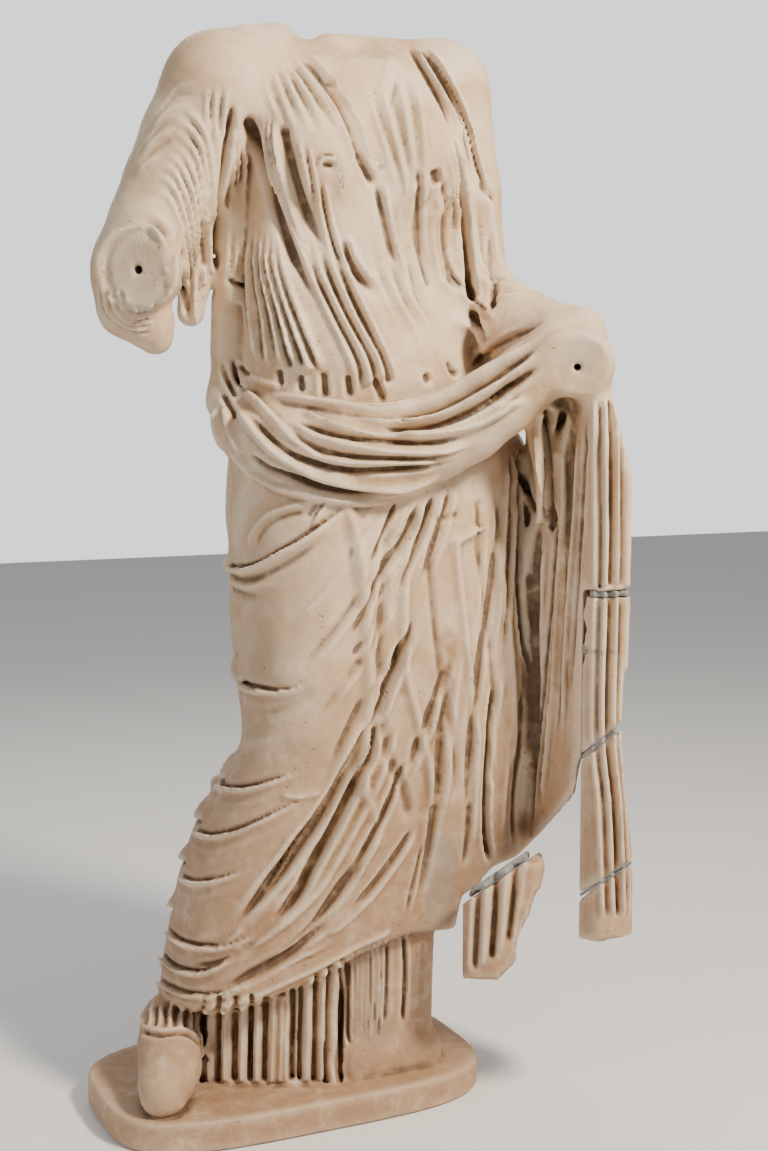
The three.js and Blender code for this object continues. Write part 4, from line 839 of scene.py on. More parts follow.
    def left_side(self) -> list[Fold]:
        """Pleats that hang from the roll over the standing leg."""
        folds = [
            groove(at("352 1010 346 900 335 800 322 700 312 620 305 540 300 450"), 11, 13),
            crest(at("338 1000 330 900 318 800 306 700 296 620 290 540"), 9, 6),
            groove(at("330 790 318 720 308 660"), 7, 9),
            ridge(at("366 1070 362 990 358 900 352 800 346 720"), 8, 10),
            cut(at("372 1081 372 1000 369 900 364 800 360 720"), 5, 12),
            ridge(at("380 1060 378 960 374 860 370 760 366 690"), 6, 8),
            cut(at("384 1081 386 1030 387 980 385 930 384 874 387 819 393 764 402 722 416 668"), 7, 28),
            cut(at("376 1078 386 1037 402 993 420 955"), 9, 20),
            crest(at("410 1110 418 1033 425 996 423 955"), 8, 13),
            ridge(at("396 960 394 880 398 800 408 730"), 8, 10),
            cut(at("418 925 414 890 420 850"), 6, 12),
            ridge(at("428 930 424 850 424 760 424 680"), 7, 9),
            cut(at("408 880 408 820 414 760"), 6, 12),
            cut(at("431 1140 432 1085 431 1041 432 990 430 935"), 11, 40, ends=(0.05, 0.1)),
            cut(at("349 694 342 640 338 580 335 510 334 450 340 402 354 366"), 8, 30, ends=(0.12, 0.12)),
            crest(at("360 706 354 650 350 590 350 520"), 8, 9),
            groove(at("394 690 389 600 385 540 381 495 380 439 382 402"), 8, 12),
            crest(at("406 690 402 600 397 520 393 450"), 8, 8),
            cut(at("428 690 420 610 414 540 411 480 408 440"), 8, 18),
            crest(at("440 680 436 600 430 530 426 470"), 8, 9),
            crest(at("322 640 320 560 316 480 314 400"), 10, 10),
            groove(at("308 500 304 430 298 370"), 8, 8),
            crest(at("372 640 368 560 362 480 360 420"), 10, 9),
            groove(at("392 1000 398 940"), 6, 6),
        ]
        return folds

    def fall(self) -> list[Fold]:
        """The fall from the left forearm: its inner panel, white ridge and front face."""
        folds = [
            groove(at("441 1120 446 1000 438 850 428 700 420 560"), 8, 14),
            crest(at("452 1110 456 980 450 850 444 700 436 560"), 8, 8),
            groove(at("463 1110 464 980 460 850 455 700 446 560"), 7, 9),
            ridge(at("480 1120 477 1000 471 880 466 790 461 650 455 560"), 8, 12),
            cut(at("492 1140 491 1050 487 960 482 880 477 790 470 650"), 6, 16),
            crest(at("500 1140 500 1050 497 960 494 880"), 6, 6),
            cut(at("456 1140 448 1100 444 1050"), 8, 20),
        ]
        for across, width, height in ((514, 6, 10), (533, 6.5, 18), (549, 5.5, 9)):
            folds.append(cut(self.down_the_fall(across), width, height, ends=(0.06, 0.02)))
        for across in (506, 523, 541, 559):
            folds.append(ridge(self.down_the_fall(across), 8, 7, ends=(0.06, 0.02)))
        return folds

    def down_the_fall(self, across: float) -> Path2:
        """A line down the whole front of the fall, through its fragments."""
        return [(across - 2, 1160), (across + 2, 1000), (across + 3, 880), (across + 1, 620),
                (across + 14, 480), (across + 24, 290)]

    def underskirt(self) -> list[Fold]:
        """Upright pleats of the undergarment below the hem."""
        folds = []
        for index, across in enumerate((-137, -112, -84, -57, -33, 14, 26, 52, 74, 94)):
            path = [(across + 2, 165 + max(across, 0) * 0.7), (across - 1, 90), (across - 3, 8)]
            deep = (12, 18, 16, 26, 14, 24, 24, 16, 20, 14)[index]
            folds.append(cut(path, 5.5 + index % 3, deep, ends=(0.01, 0.02)))
        for across in (-124, -98, -70, -45, -18, -4, 40, 62, 84):
            path = [(across + 2, 165 + max(across, 0) * 0.7), (across - 1, 90), (across - 3, 8)]
            folds.append(ridge(path, 9, 8, ends=(0.01, 0.02)))
            folds.append(groove(moved(path, 3, 0), 3.2, 5, ends=(0.01, 0.02)))
        folds += piping(at("112 240 112 160 112 80"), at("166 262 164 180 160 85"), 7, 4, 3.5,
                        (0.02, 0.1))
        folds += [
            cut(at("106 225 103 150 104 90 114 70"), 5, 10, ends=(0.02, 0.1)),
            groove(at("172 255 171 180 168 110"), 5, 9, ends=(0.02, 0.1)),
            cut(at("200 268 201 180 198 110"), 4.5, 12, ends=(0.02, 0.1)),
            groove(at("232 262 228 150"), 6, 4),
        ]
        return folds

    def ankle(self) -> list[Fold]:
        """The ruffled edge of the undergarment over the foot."""
        folds = []
        for index, across in enumerate((-236, -222, -206, -190, -172, -156)):
            top = 150 - 2 * index
            folds.append(crest([(across, top), (across - 2, top - 22), (across - 4, top - 44)], 7, 7,
                               ends=(0.1, 0.1)))
            folds.append(groove([(across + 8, top), (across + 6, top - 22), (across + 5, top - 42)], 6, 6,
                                ends=(0.1, 0.1)))
        folds.append(cut(at("-246 104 -228 96 -206 92 -184 96 -160 92 -142 70"), 5, 9,
                         ends=(0.05, 0.05)))
        folds.append(crest(at("-246 112 -228 104 -206 100 -184 104 -160 100 -142 80"), 6, 6,
                           ends=(0.05, 0.05)))
        return folds

    def back(self) -> list[Fold]:
        """The plainer back: the mantle runs from the left shoulder down to the right hip."""
        folds = [
            *piping(at("-330 1600 -230 1430 -90 1265 60 1190"), at("-150 1650 -70 1480 30 1330 110 1250"),
                6, 15, 12, (0.15, 0.1), 180),
            lap(at("-120 1690 -50 1520 50 1370 120 1290"), 12, 12, spread=2.5, turn=180),
            *piping(at("-330 1330 -250 1200 -120 1110 60 1075"),
                at("-340 1120 -260 1060 -140 1010 40 1000"), 4, 15, 11, (0.1, 0.1), 180),
            *piping(at("-330 960 -300 640 -250 340"), at("60 930 90 640 170 240"), 10, 17, 14, (0.25,
                0.06), 180),
            *piping(at("60 1650 80 1520 95 1380"), at("160 1640 190 1500 215 1360"), 4, 11, 6, (0.3, 0.2),
                180),
        ]
        return folds

    def sides(self) -> list[Fold]:
        """Folds of the outer left side, under the forearm, and of the outer right side."""
        return [
            *piping(at("-150 1000 -140 700 -120 420"), at("120 960 130 700 120 440"), 7, 15, 12, (0.15,
                0.05), 90),
            *piping(at("-60 1560 -50 1460 -45 1340"), at("60 1560 66 1460 70 1330"), 4, 11, 7, (0.2, 0.2),
                90),
            *[lap([(80, z + 8), (20, z - 6), (-60, z + 14), (-130, z + 50)], 11, 11, ends=(0.1, 0.4),
                spread=2.4, turn=-90) for z in (870, 690, 520, 440, 360, 270)],
        ]

    def whole(self) -> list[Fold]:
        """All the folds of the block."""
        return [
            *self.bodice(), *self.belly(), *self.sleeve(), *self.hip_roll(), *self.bent_leg(),
            *self.between_legs(), *self.left_side(), *self.fall(), *self.underskirt(), *self.ankle(),
            *self.back(), *self.sides(),
        ]


# ---------------------------------------------------------------------------------------- modelling grid
@dataclass
class Surface:
    """A closed surface of four-sided faces with values at its vertices."""

    vertices: Array
    quads: Array
    marks: dict[str, Array] = field(default_factory=dict)

    def normals(self) -> Array:
        """Averages the faces' directions at each vertex."""
        a, b, c, d = (self.vertices[self.quads[:, k]] for k in range(4))
        facing = np.cross(c - a, d - b)
        total = np.stack([
            sum(np.bincount(self.quads[:, k], facing[:, axis], len(self.vertices)) for k in range(4))
            for axis in range(3)
        ], -1)
        return total / np.maximum(np.linalg.norm(total, axis=1, keepdims=True), 1e-9)

    def relax(self, share: float) -> None:
        """Moves each vertex a part of the way to the mean of its neighbours."""
        total = np.zeros_like(self.vertices)
        count = np.zeros(len(self.vertices))
        for k in range(4):
            here, there = self.quads[:, k], self.quads[:, (k + 1) % 4]
            for p, q in ((here, there), (there, here)):
                count += np.bincount(p, minlength=len(self.vertices))
                for axis in range(3):
                    total[:, axis] += np.bincount(p, self.vertices[q, axis], len(self.vertices))
        self.vertices = self.vertices + share * (total / count[:, None] - self.vertices)


def evened(rows: Array, half: int) -> Array:
    """Averages each row of a line with its neighbours, keeping the ends.

    Args:
        rows: Points or directions along the line.
        half: How many neighbours on each side count.

    Returns:
        The evened rows.
    """
    padded = np.concatenate([rows[:1]] * half + [rows] + [rows[-1:]] * half)
    return sum(padded[k:k + len(rows)] for k in range(2 * half + 1)) / (2 * half + 1)


class ModellingGrid:
    """A distance field on a grid, worked out where it is near the surface and carved fold by fold."""

    BLOCK = 6  # coarse steps along the side of a block
    CHUNK = 300000  # points worked out at a time
    LONGEST_STEP = 60  # a longer step of a carried line jumps from one part of the form to another

    def __init__(self, form: Field, low: Sequence[float], high: Sequence[float], cell: float) -> None:
        """Works out the form on a grid of twice the cell, then divides it.

        Args:
            form: The distance field.
            low: Lowest corner of the box, in millimetres.
            high: Highest corner.
            cell: Spacing of the finished grid.
        """
        self.form = form
        self.cell = cell
        self.low = np.array(low, float)
        self.values = self._divide(self._coarse(np.array(high, float)))
        self.raised = np.zeros(self.values.shape, np.float32)
        self.sunk = np.zeros(self.values.shape, np.float32)

    def _coarse(self, high: Array) -> Array:
        """Fills the coarse grid: block middles first, then every point of the blocks near the surface."""
        wide, block = self.cell * 2, self.BLOCK
        count = np.ceil((high - self.low) / wide / block).astype(int)
        index = np.stack(np.meshgrid(*[np.arange(n) for n in count], indexing="ij"), -1)
        middle = self.form(self.low + wide * block * (index + 0.5))
        values = np.ones(tuple(count * block + 1), np.float32)
        spread = middle
        for axis in range(3):
            spread = np.repeat(spread, block, axis)
        values[:-1, :-1, :-1] = spread
        near = np.zeros(values.shape, bool)
        for i, j, k in np.argwhere(np.abs(middle) < wide * block * 0.87 * 1.5 + 20) * block:
            near[i:i + block + 1, j:j + block + 1, k:k + block + 1] = True
        points = np.argwhere(near)
        for start in range(0, len(points), self.CHUNK):
            part = points[start:start + self.CHUNK]
            values[tuple(part.T)] = self.form(self.low + part * wide)
        return values

    @staticmethod
    def _divide(coarse: Array) -> Array:
        """Halves the spacing of a grid along each axis, with cubic middles so that no ripples show."""
        fine = coarse
        for axis in range(3):
            fine = np.moveaxis(fine, axis, 0)
            longer = np.empty((2 * fine.shape[0] - 1, *fine.shape[1:]), np.float32)
            longer[::2] = fine
            longer[1::2] = (fine[:-1] + fine[1:]) / 2
            longer[3:-3:2] = (9 * (fine[1:-2] + fine[2:-1]) - fine[:-3] - fine[3:]) / 16
            fine = np.moveaxis(longer, 0, axis)
        return np.ascontiguousarray(fine)

    def _window(self, low: Array, high: Array) -> tuple[slice, slice, slice]:
        """Finds the part of the grid inside a box."""
        first = np.clip(np.floor((low - self.low) / self.cell).astype(int), 0,
            np.array(self.values.shape) - 1)
        last = np.clip(np.ceil((high - self.low) / self.cell).astype(int) + 1, 1, self.values.shape)
        return tuple(slice(a, b) for a, b in zip(first, last))

    def _places(self, window: tuple[slice, slice, slice]) -> Array:
        """Lists where the points of a window are."""
        axes = [self.low[k] + self.cell * np.arange(s.start, s.stop) for k, s in enumerate(window)]
        return np.stack(np.meshgrid(*axes, indexing="ij"), -1)

    def _facing(self, points: Array) -> Array:
        """Finds the outward direction of the plain form."""
        steps = np.eye(3) * 6.0
        slope = np.stack([self.form(points + step) - self.form(points - step) for step in steps], -1)
        return slope / np.maximum(np.linalg.norm(slope, axis=-1, keepdims=True), 1e-9)

    def carve(self, folds: Iterable[Fold]) -> None:
        """Raises and sinks the surface by the folds; of folds that meet, the strongest holds.

        Args:
            folds: The folds to carve.
        """
        for fold in folds:
            line = fold.carried(self.form)
            if len(line) < 3:
                LOG.info("a fold from %s misses the form", fold.path[0])
                continue
            self._carve_line(fold, evened(line, 1), evened(self._facing(line), 3))

    def _carve_line(self, fold: Fold, line: Array, facing: Array) -> None:
        """Carves one fold along its carried line."""
        wide = fold.width * max(fold.spread, 2.0 if fold.section is Section.CUT else 1.0)
        deep = fold.height + 4 * self.cell
        steps = np.diff(line, axis=0)
        lengths = np.linalg.norm(steps, axis=1)
        passed = np.concatenate([[0], np.cumsum(lengths)])
        reach = max(wide, deep) + self.cell
        window = self._window(line.min(0) - reach, line.max(0) + reach)
        shape = tuple(s.stop - s.start for s in window)
        nearest = np.full(shape, np.inf, np.float32)
        place = np.zeros(shape, np.float32)
        side = np.zeros(shape, np.int8)
        corner = np.array([s.start for s in window])
        for k, (step, length) in enumerate(zip(steps, lengths)):
            if length < 1e-6 or length > self.LONGEST_STEP:
                continue
            out = facing[k] + facing[k + 1]
            out /= max(np.linalg.norm(out), 1e-9)
            ends = np.stack([line[k], line[k + 1]])
            ends = np.concatenate([ends + out * deep, ends - out * deep])
            local = self._window(ends.min(0) - wide - self.cell, ends.max(0) + wide + self.cell)
            points = self._places(local)
            inner = tuple(slice(s.start - c, s.stop - c) for s, c in zip(local, corner))
            if any(s.start < 0 for s in inner):
                inner = tuple(slice(max(s.start, 0), s.stop) for s in inner)
                local = tuple(slice(s.start + c, s.stop + c) for s, c in zip(inner, corner))
                points = self._places(local)
            size = nearest[inner].shape
            points = points[:size[0], :size[1], :size[2]]
            off = points - line[k]
            t = np.clip(off @ step / length**2, 0, 1)
            off = off - t[..., None] * step
            height = off @ out
            aside = np.sqrt(np.maximum((off * off).sum(-1) - height**2, 0)).astype(np.float32)
            aside[np.abs(height) > deep] = np.inf
            closer = aside < nearest[inner]
            nearest[inner] = np.where(closer, aside, nearest[inner])
            place[inner] = np.where(closer, (passed[k] + t * length) / passed[-1], place[inner])
            if fold.section is Section.LAP:
                turned = np.sign((off @ np.cross(step, out)))
                side[inner] = np.where(closer, turned, side[inner])
        self._apply(fold, window, nearest, place, side)

    def _apply(self, fold: Fold, window: tuple[slice, slice, slice], nearest: Array, place: Array,
               side: Array) -> None:
        """Adds one fold's section to the raised and sunk amounts."""
        start, end = (max(share, 1e-3) for share in fold.ends)
        taper = np.clip(place / start, 0, 1) * np.clip((1 - place) / end, 0, 1)
        taper = taper * taper * (3 - 2 * taper)
        height = fold.height * taper
        u = np.clip(nearest / (fold.width * (0.5 + 0.5 * taper)), 0, 1)
        raised, sunk = self.raised[window], self.sunk[window]
        if fold.section is Section.RIDGE:
            np.maximum(raised, height * 0.5 * (1 + np.cos(np.pi * u)), out=raised)
        elif fold.section is Section.CREST:
            np.maximum(raised, height * (1 - u) ** 1.35, out=raised)
        elif fold.section is Section.GROOVE:
            np.maximum(sunk, height * 0.5 * (1 + np.cos(np.pi * u)), out=sunk)
        elif fold.section is Section.CUT:
            np.maximum(sunk, height * (1 - u**1.7) ** 1.3, out=sunk)
            lip = np.clip(np.abs(nearest / fold.width - 1.35) / 0.6, 0, 1)
            np.maximum(raised, height * 0.16 * (1 - lip) ** 2 * (1 + 2 * lip), out=raised)
        else:
            v = np.clip(nearest / (fold.width * fold.spread), 0, 1)
            falling = side * fold.side >= 0
            np.maximum(raised, np.where(falling, height * (1 - v) ** 1.5, 0), out=raised)
            np.maximum(sunk, np.where(falling, 0, height * 0.8 * (1 - u) ** 1.5), out=sunk)

    def settle(self) -> None:
        """Moves the field by the carved amounts."""
        self.values -= self.raised - self.sunk

    def trim(self, cutter: Field, low: Sequence[float], high: Sequence[float], blend: float = 1.5) -> None:
        """Cuts away what lies outside another field, within a box.

        Args:
            cutter: Field that is negative where the marble stays.
            low: Lowest corner of the box.
            high: Highest corner.
            blend: Rounding of the cut's edge.
        """
        window = self._window(np.array(low, float), np.array(high, float))
        points = self._places(window)
        self.values[window] = smooth_max(self.values[window], cutter(points), blend)

    def _softened(self, radius: float) -> Array:
        """Averages the field over a cube, to compare a place with its surroundings."""
        half = max(1, int(round(radius / self.cell)))
        soft = np.clip(self.values, -3 * radius, 3 * radius).astype(np.float32)
        for axis in range(3):
            turned = np.moveaxis(soft, axis, 0)
            total = np.cumsum(turned, 0, dtype=np.float64)
            lead = np.concatenate([np.zeros((1, *total.shape[1:])), total[:-2 * half - 1]])
            mean = turned.copy()
            mean[half:-half] = ((total[2 * half:] - lead) / (2 * half + 1)).astype(np.float32)
            soft = np.moveaxis(mean, 0, axis)
        return soft

    def hollows(self, vertices: Array, radius: float) -> Array:
        """Measures how hollow the surface is at the vertices, from -1 on crests to 1 in recesses.

        Args:
            vertices: Places on the surface.
            radius: Size of the surroundings that count.

        Returns:
            One value for each vertex.
        """
        return np.clip(-self._sampled(self._softened(radius), vertices) / (0.35 * radius), -1, 1)

    def _sampled(self, grid: Array, vertices: Array) -> Array:
        """Reads a grid at the vertices, between its points."""
        place = np.clip((vertices - self.low) / self.cell, 0, np.array(grid.shape) - 1.001)
        first = place.astype(int)
        t = place - first
        total = np.zeros(len(vertices))
        for corner in range(8):
            step = np.array([corner & 1, (corner >> 1) & 1, corner >> 2])
            total += grid[tuple((first + step).T)] * np.prod(np.where(step == 1, t, 1 - t), -1)
        return total

    def surface(self) -> Surface:
        """Takes the surface out of the field: a vertex in each crossed cell, a face for each crossed "
            "edge."""
        values = self.values
        for axis in range(3):
            rim = np.moveaxis(values, axis, 0)
            rim[0] = rim[-1] = 1000
        inside = values < 0
        count = np.zeros(tuple(n - 1 for n in values.shape), np.int8)
        for i in (0, 1):
            for j in (0, 1):
                for k in (0, 1):
                    nx, ny, nz = values.shape
                    count += inside[i:nx - 1 + i, j:ny - 1 + j, k:nz - 1 + k]
        cells = np.argwhere((count > 0) & (count < 8))
        names = np.full(count.shape, -1, np.int32)
        names[tuple(cells.T)] = np.arange(len(cells))
        total = np.zeros((len(cells), 3))
        crossed = np.zeros(len(cells))
        unit = np.eye(3, dtype=int)
        for axis in range(3):
            for u in (0, 1):
                for v in (0, 1):
                    offset = u * unit[(axis + 1) % 3] + v * unit[(axis + 2) % 3]
                    a = values[tuple((cells + offset).T)]
                    b = values[tuple((cells + offset + unit[axis]).T)]
                    cross = (a < 0) != (b < 0)
                    t = np.where(cross, a / np.where(cross, a - b, 1), 0)
                    total += np.where(cross[:, None], offset + t[:, None] * unit[axis], 0)
                    crossed += cross
        vertices = self.low + self.cell * (cells + total / crossed[:, None])
        quads = [self._faces(inside, names, axis) for axis in range(3)]
        return Surface(vertices, np.concatenate(quads))

    @staticmethod
    def _faces(inside: Array, names: Array, axis: int) -> Array:
        """Makes the faces across the crossed grid edges along one axis."""
        unit = np.eye(3, dtype=int)
        turned = np.moveaxis(inside, axis, 0)
        edges = np.argwhere(np.moveaxis(turned[:-1] != turned[1:], 0, axis))
        u, v = unit[(axis + 1) % 3], unit[(axis + 2) % 3]
        ring = np.stack([names[tuple((edges - o).T)] for o in (u + v, v, 0 * u, u)], -1)
        flip = ~inside[tuple(edges.T)]
        ring[flip] = ring[flip][:, ::-1]
        return ring


# --------------------------------------------------------------------------------------------- the pieces
def smoothstep(low: float, high: float, value: Array) -> Array:
    """Runs smoothly from 0 at low to 1 at high."""
    t = np.clip((value - low) / (high - low), 0, 1)
    return t * t * (3 - 2 * t)


@dataclass(frozen=True)
class Stain:
    """A soft-edged stained place along a drawn line.

    Attributes:
        path: Drawn points, across and up.
        width: Half its width.
        strength: How strong it is, from 0 to 1.
    """

    path: Path2
    width: float
    strength: float = 1.0

    def mark(self, across: Array, up: Array) -> Array:
        """Measures how stained drawn places are, from 0 to 1."""
        nearest = np.full(across.shape, np.inf)
        points = np.array(self.path, float)
        for a, b in zip(points[:-1], points[1:]):
            along = b - a
            t = np.clip(((across - a[0]) * along[0] + (up - a[1]) * along[1]) / (along @ along), 0, 1)
            nearest = np.minimum(nearest, np.hypot(across - a[0] - t * along[0], up - a[1] - t * along[1]))
        return self.strength * (1 - smoothstep(0.55 * self.width, 1.25 * self.width, nearest))


@dataclass(frozen=True)
class Weathering:
    """Where the marble is stained, worn and darker towards the bottom, and how much painted shade its
    hollows get, as values for each vertex.
    """

    ochre: tuple[Stain, ...] = (
        Stain(at("270 760 257 649 248 535 236 422 222 350"), 20, 0.7),
        # the fall's inner panel: a stain together with painted shade, where the panel hangs in shadow
        Stain(at("462 1120 462 900 455 700"), 26, 0.6),
        Stain(at("-60 1400 -45 1280 -30 1200"), 26, 0.35),
        Stain(at("-30 1090 40 1045 140 1030 240 1040"), 24, 0.45),
        Stain(at("150 560 80 420 0 310 -70 240"), 30, 0.45),
        Stain(at("380 1060 390 900 385 780"), 30, 0.45),
    )
    grey: tuple[Stain, ...] = (
        Stain(at("-232 1395 -228 1320"), 48, 0.45),
        Stain(at("484 1220 500 1250"), 30, 0.35),
        Stain(at("262 415 258 300"), 26, 0.55),
        Stain(at("150 230 150 100"), 30, 0.35),
    )

    def marks(self, grid: ModellingGrid, surface: Surface) -> dict[str, Array]:
        """Works out the weathering marks and the painted shade of the hollows.

        Args:
            grid: The carved field.
            surface: The surface taken from it.

        Returns:
            Values from 0 to 1 by name, one for each vertex.
        """
        points = surface.vertices
        facing = surface.normals()
        across, up = DRAWING.drawn(points)
        front = smoothstep(-0.1, 0.4, facing @ DRAWING.to_body(np.array([0.0, -1.0, 0.0])))
        near, far = grid.hollows(points, 9), grid.hollows(points, 30)
        patches = 0.5 + 0.5 * noise(points, 90, 3) + 0.3 * noise(points, 31, 4)
        ochre = sum(stain.mark(across, up) for stain in self.ochre) * front
        # painted shade: the deep hollows also turn ochre, in patches
        ochre = ochre + smoothstep(0.15, 0.9, far) * 0.55 * np.clip(patches, 0, 1)
        low = 1 - smoothstep(250, 1150, points[:, 2])
        return {
            # painted shade of the recesses, from how hollow the surface is, like a crude ambient occlusion
            "hollow": np.clip(0.65 * np.maximum(near, 0) + 0.5 * np.maximum(far, 0), 0, 1),
            "worn": np.clip(-near, 0, 1),
            "ochre": np.clip(ochre, 0, 1),
            "grey": np.clip(sum(stain.mark(across, up) for stain in self.grey) * front, 0, 1),
            "low": np.clip(low + 0.15 * noise(points, 120, 7), 0, 1),
        }


class PieceMaker:
    """Turns surfaces into dressed pieces that ride with the statue."""

    LARGEST = 95000  # faces with four sides in one piece

    def __init__(self, marble: bpy.types.Material, mortar: bpy.types.Material) -> None:
        """Keeps the finishes.

        Args:
            marble: Finish of the statue and its fragments.
            mortar: Finish of the mortar beds.
        """
        self.materials = {"marble": marble, "mortar": mortar}

    def make(self, name: str, surface: Surface, slot: str, *nodes: str) -> list[bpy.types.Object]:
        """Makes one piece, or several that meet along level seams where it has many faces.

        Args:
            name: The piece's name.
            surface: Its surface.
            slot: The material slot it takes its finish from.
            nodes: The nodes it stands for.

        Returns:
            The pieces.
        """
        normals = surface.normals()
        middle = surface.vertices[surface.quads, 2].mean(1)
        parts = max(1, math.ceil(len(surface.quads) / self.LARGEST))
        levels = np.quantile(middle, np.linspace(0, 1, parts + 1))
        levels[-1] += 1
        pieces = []
        for index, (low, high) in enumerate(zip(levels[:-1], levels[1:])):
            quads = surface.quads[(middle >= low) & (middle < high)]
            used, renamed = np.unique(quads, return_inverse=True)
            label = name if parts == 1 else f"{name}_{index + 1}"
            mesh = bpy.data.meshes.new(label)
            mesh.from_pydata(surface.vertices[used] * MM, [], renamed.reshape(-1, 4))
            mesh.shade_smooth()
            for mark, values in surface.marks.items():
                layer = mesh.attributes.new(mark, "FLOAT", "POINT")
                layer.data.foreach_set("value", values[used].astype(np.float32))
            mesh.normals_split_custom_set_from_vertices(normals[used])
            mesh.materials.append(self.materials[slot])
            piece = bpy.data.objects.new(label, mesh)
            bpy.context.scene.collection.objects.link(piece)
            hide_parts(*nodes)
            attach(piece, "root")
            pieces.append(piece)
            LOG.info("%s: %d faces", label, len(quads))
        return pieces


@dataclass
class StatueBlock:
    """The carved block: the figure, its drapery and its base.

    Attributes:
        cell: Spacing of the modelling grid, in millimetres.
        form: The broad forms.
        drapery: The folds.
        weathering: The stains.
    """

    cell: float = 3.8
    form: FigureForm = field(default_factory=FigureForm)
    drapery: Drapery = field(default_factory=Drapery)
    weathering: Weathering = field(default_factory=Weathering)

    def dowel_holes(self, grid: ModellingGrid) -> None:
        """Drills the holes left by lost dowels in the two breaks."""
        holes = (
            (DRAWING.set_out(-227, 1358, -172), DRAWING.to_body(np.array([0.16, 0.98, 0.06])), 7.0, 45.0),
            (DRAWING.set_out(476, 1203, -152), DRAWING.to_body(np.array([0.10, 0.98, 0.12])), 6.5, 45.0),
        )
        for mouth, direction, radius, depth in holes:
            hole = Limb([[*(mouth - direction * 20), radius], [*(mouth + direction * depth), radius - 1]])
            grid.trim(lambda points, hole=hole: -hole(points), mouth - 60, mouth + 60, 3)

    def wear(self, surface: Surface) -> None:
        """Gives the surface the shallow unevenness of old worn carving."""
        points, facing = surface.vertices, surface.normals()
        amount = 0.55 * noise(points, 34, 11) + 0.35 * noise(points, 13, 12)
        pits = smoothstep(0.55, 0.95, noise(points, 9, 13)) * smoothstep(-0.1, 0.5, noise(points, 70, 14))
        level = smoothstep(2, 8, points[:, 2])
        surface.vertices = points + facing * ((amount - 0.9 * pits) * level)[:, None]

    def build(self, maker: PieceMaker) -> list[bpy.types.Object]:
        """Carves and dresses the block.

        Args:
            maker: Makes the pieces.

        Returns:
            The pieces of the block.
        """
        cell = self.cell
        grid = ModellingGrid(self.form, (-350, -400, -24), (540, 270, 1770), cell)
        LOG.info("broad forms done, grid %s", grid.values.shape)
        grid.carve(self.drapery.whole())
        grid.settle()
        self.dowel_holes(grid)
        surface = grid.surface()
        surface.relax(0.5)
        surface.marks = self.weathering.marks(grid, surface)
        self.wear(surface)
        surface.vertices[:, 2] = np.maximum(surface.vertices[:, 2], 0)
        return maker.make("figure", surface, "marble", "statue")


@dataclass(frozen=True)
class DrawnEdge:
    """A broken outline on the drawing, carried along the lines of sight; negative inside."""

    corners: Path2
    rough: float = 2.5
    seed: int = 31

    def __call__(self, points: Array) -> Array:
        """Measures the distance from points to the outline."""
        across, up = DRAWING.drawn(points)
        nearest = np.full(across.shape, np.inf)
        inside = np.zeros(across.shape, bool)
        for a, b in zip(self.corners, [*self.corners[1:], self.corners[0]]):
            dx, dy = b[0] - a[0], b[1] - a[1]
            t = np.clip(((across - a[0]) * dx + (up - a[1]) * dy) / (dx * dx + dy * dy), 0, 1)
            nearest = np.minimum(nearest, np.hypot(across - a[0] - t * dx, up - a[1] - t * dy))
            if dy:
                inside ^= ((up >= a[1]) != (up >= b[1])) & (across < a[0] + (up - a[1]) * dx / dy)
        rough = self.rough * (noise(points, 17, self.seed) + 0.5 * noise(points, 7, self.seed + 1))
        return np.where(inside, -nearest, nearest) + rough


def sight_plane(start: tuple[float, float], end: tuple[float, float], lowered: float) -> Plane:
    """Makes a face that appears on the drawing as a line; what is above it is outside.

    Args:
        start: One drawn point of the line.
        end: Another, to the left or right of it.
        lowered: How far the face is below the line.

    Returns:
        The face.
    """
    eye = DRAWING.to_body(np.array([DRAWING.across, -DRAWING.distance, DRAWING.height]))
    a, b = DRAWING.set_out(*start, 0), DRAWING.set_out(*end, 0)
    up = np.cross(a - eye, b - eye)
    up *= np.sign(up[2]) / np.linalg.norm(up)
    return Plane(a - up * lowered, up)


@dataclass(frozen=True)
class Part:
    """A broken piece or the mortar it is set in.

    Attributes:
        name: Its name, as the node's.
        top: Its upper face, or None.
        bottom: Its lower face, or None; what is above is kept.
        outline: Its broken outline on the drawing.
        slot: Its material slot.
    """

    name: str
    top: Plane | None
    bottom: Plane | None
    outline: Path2
    slot: str = "marble"


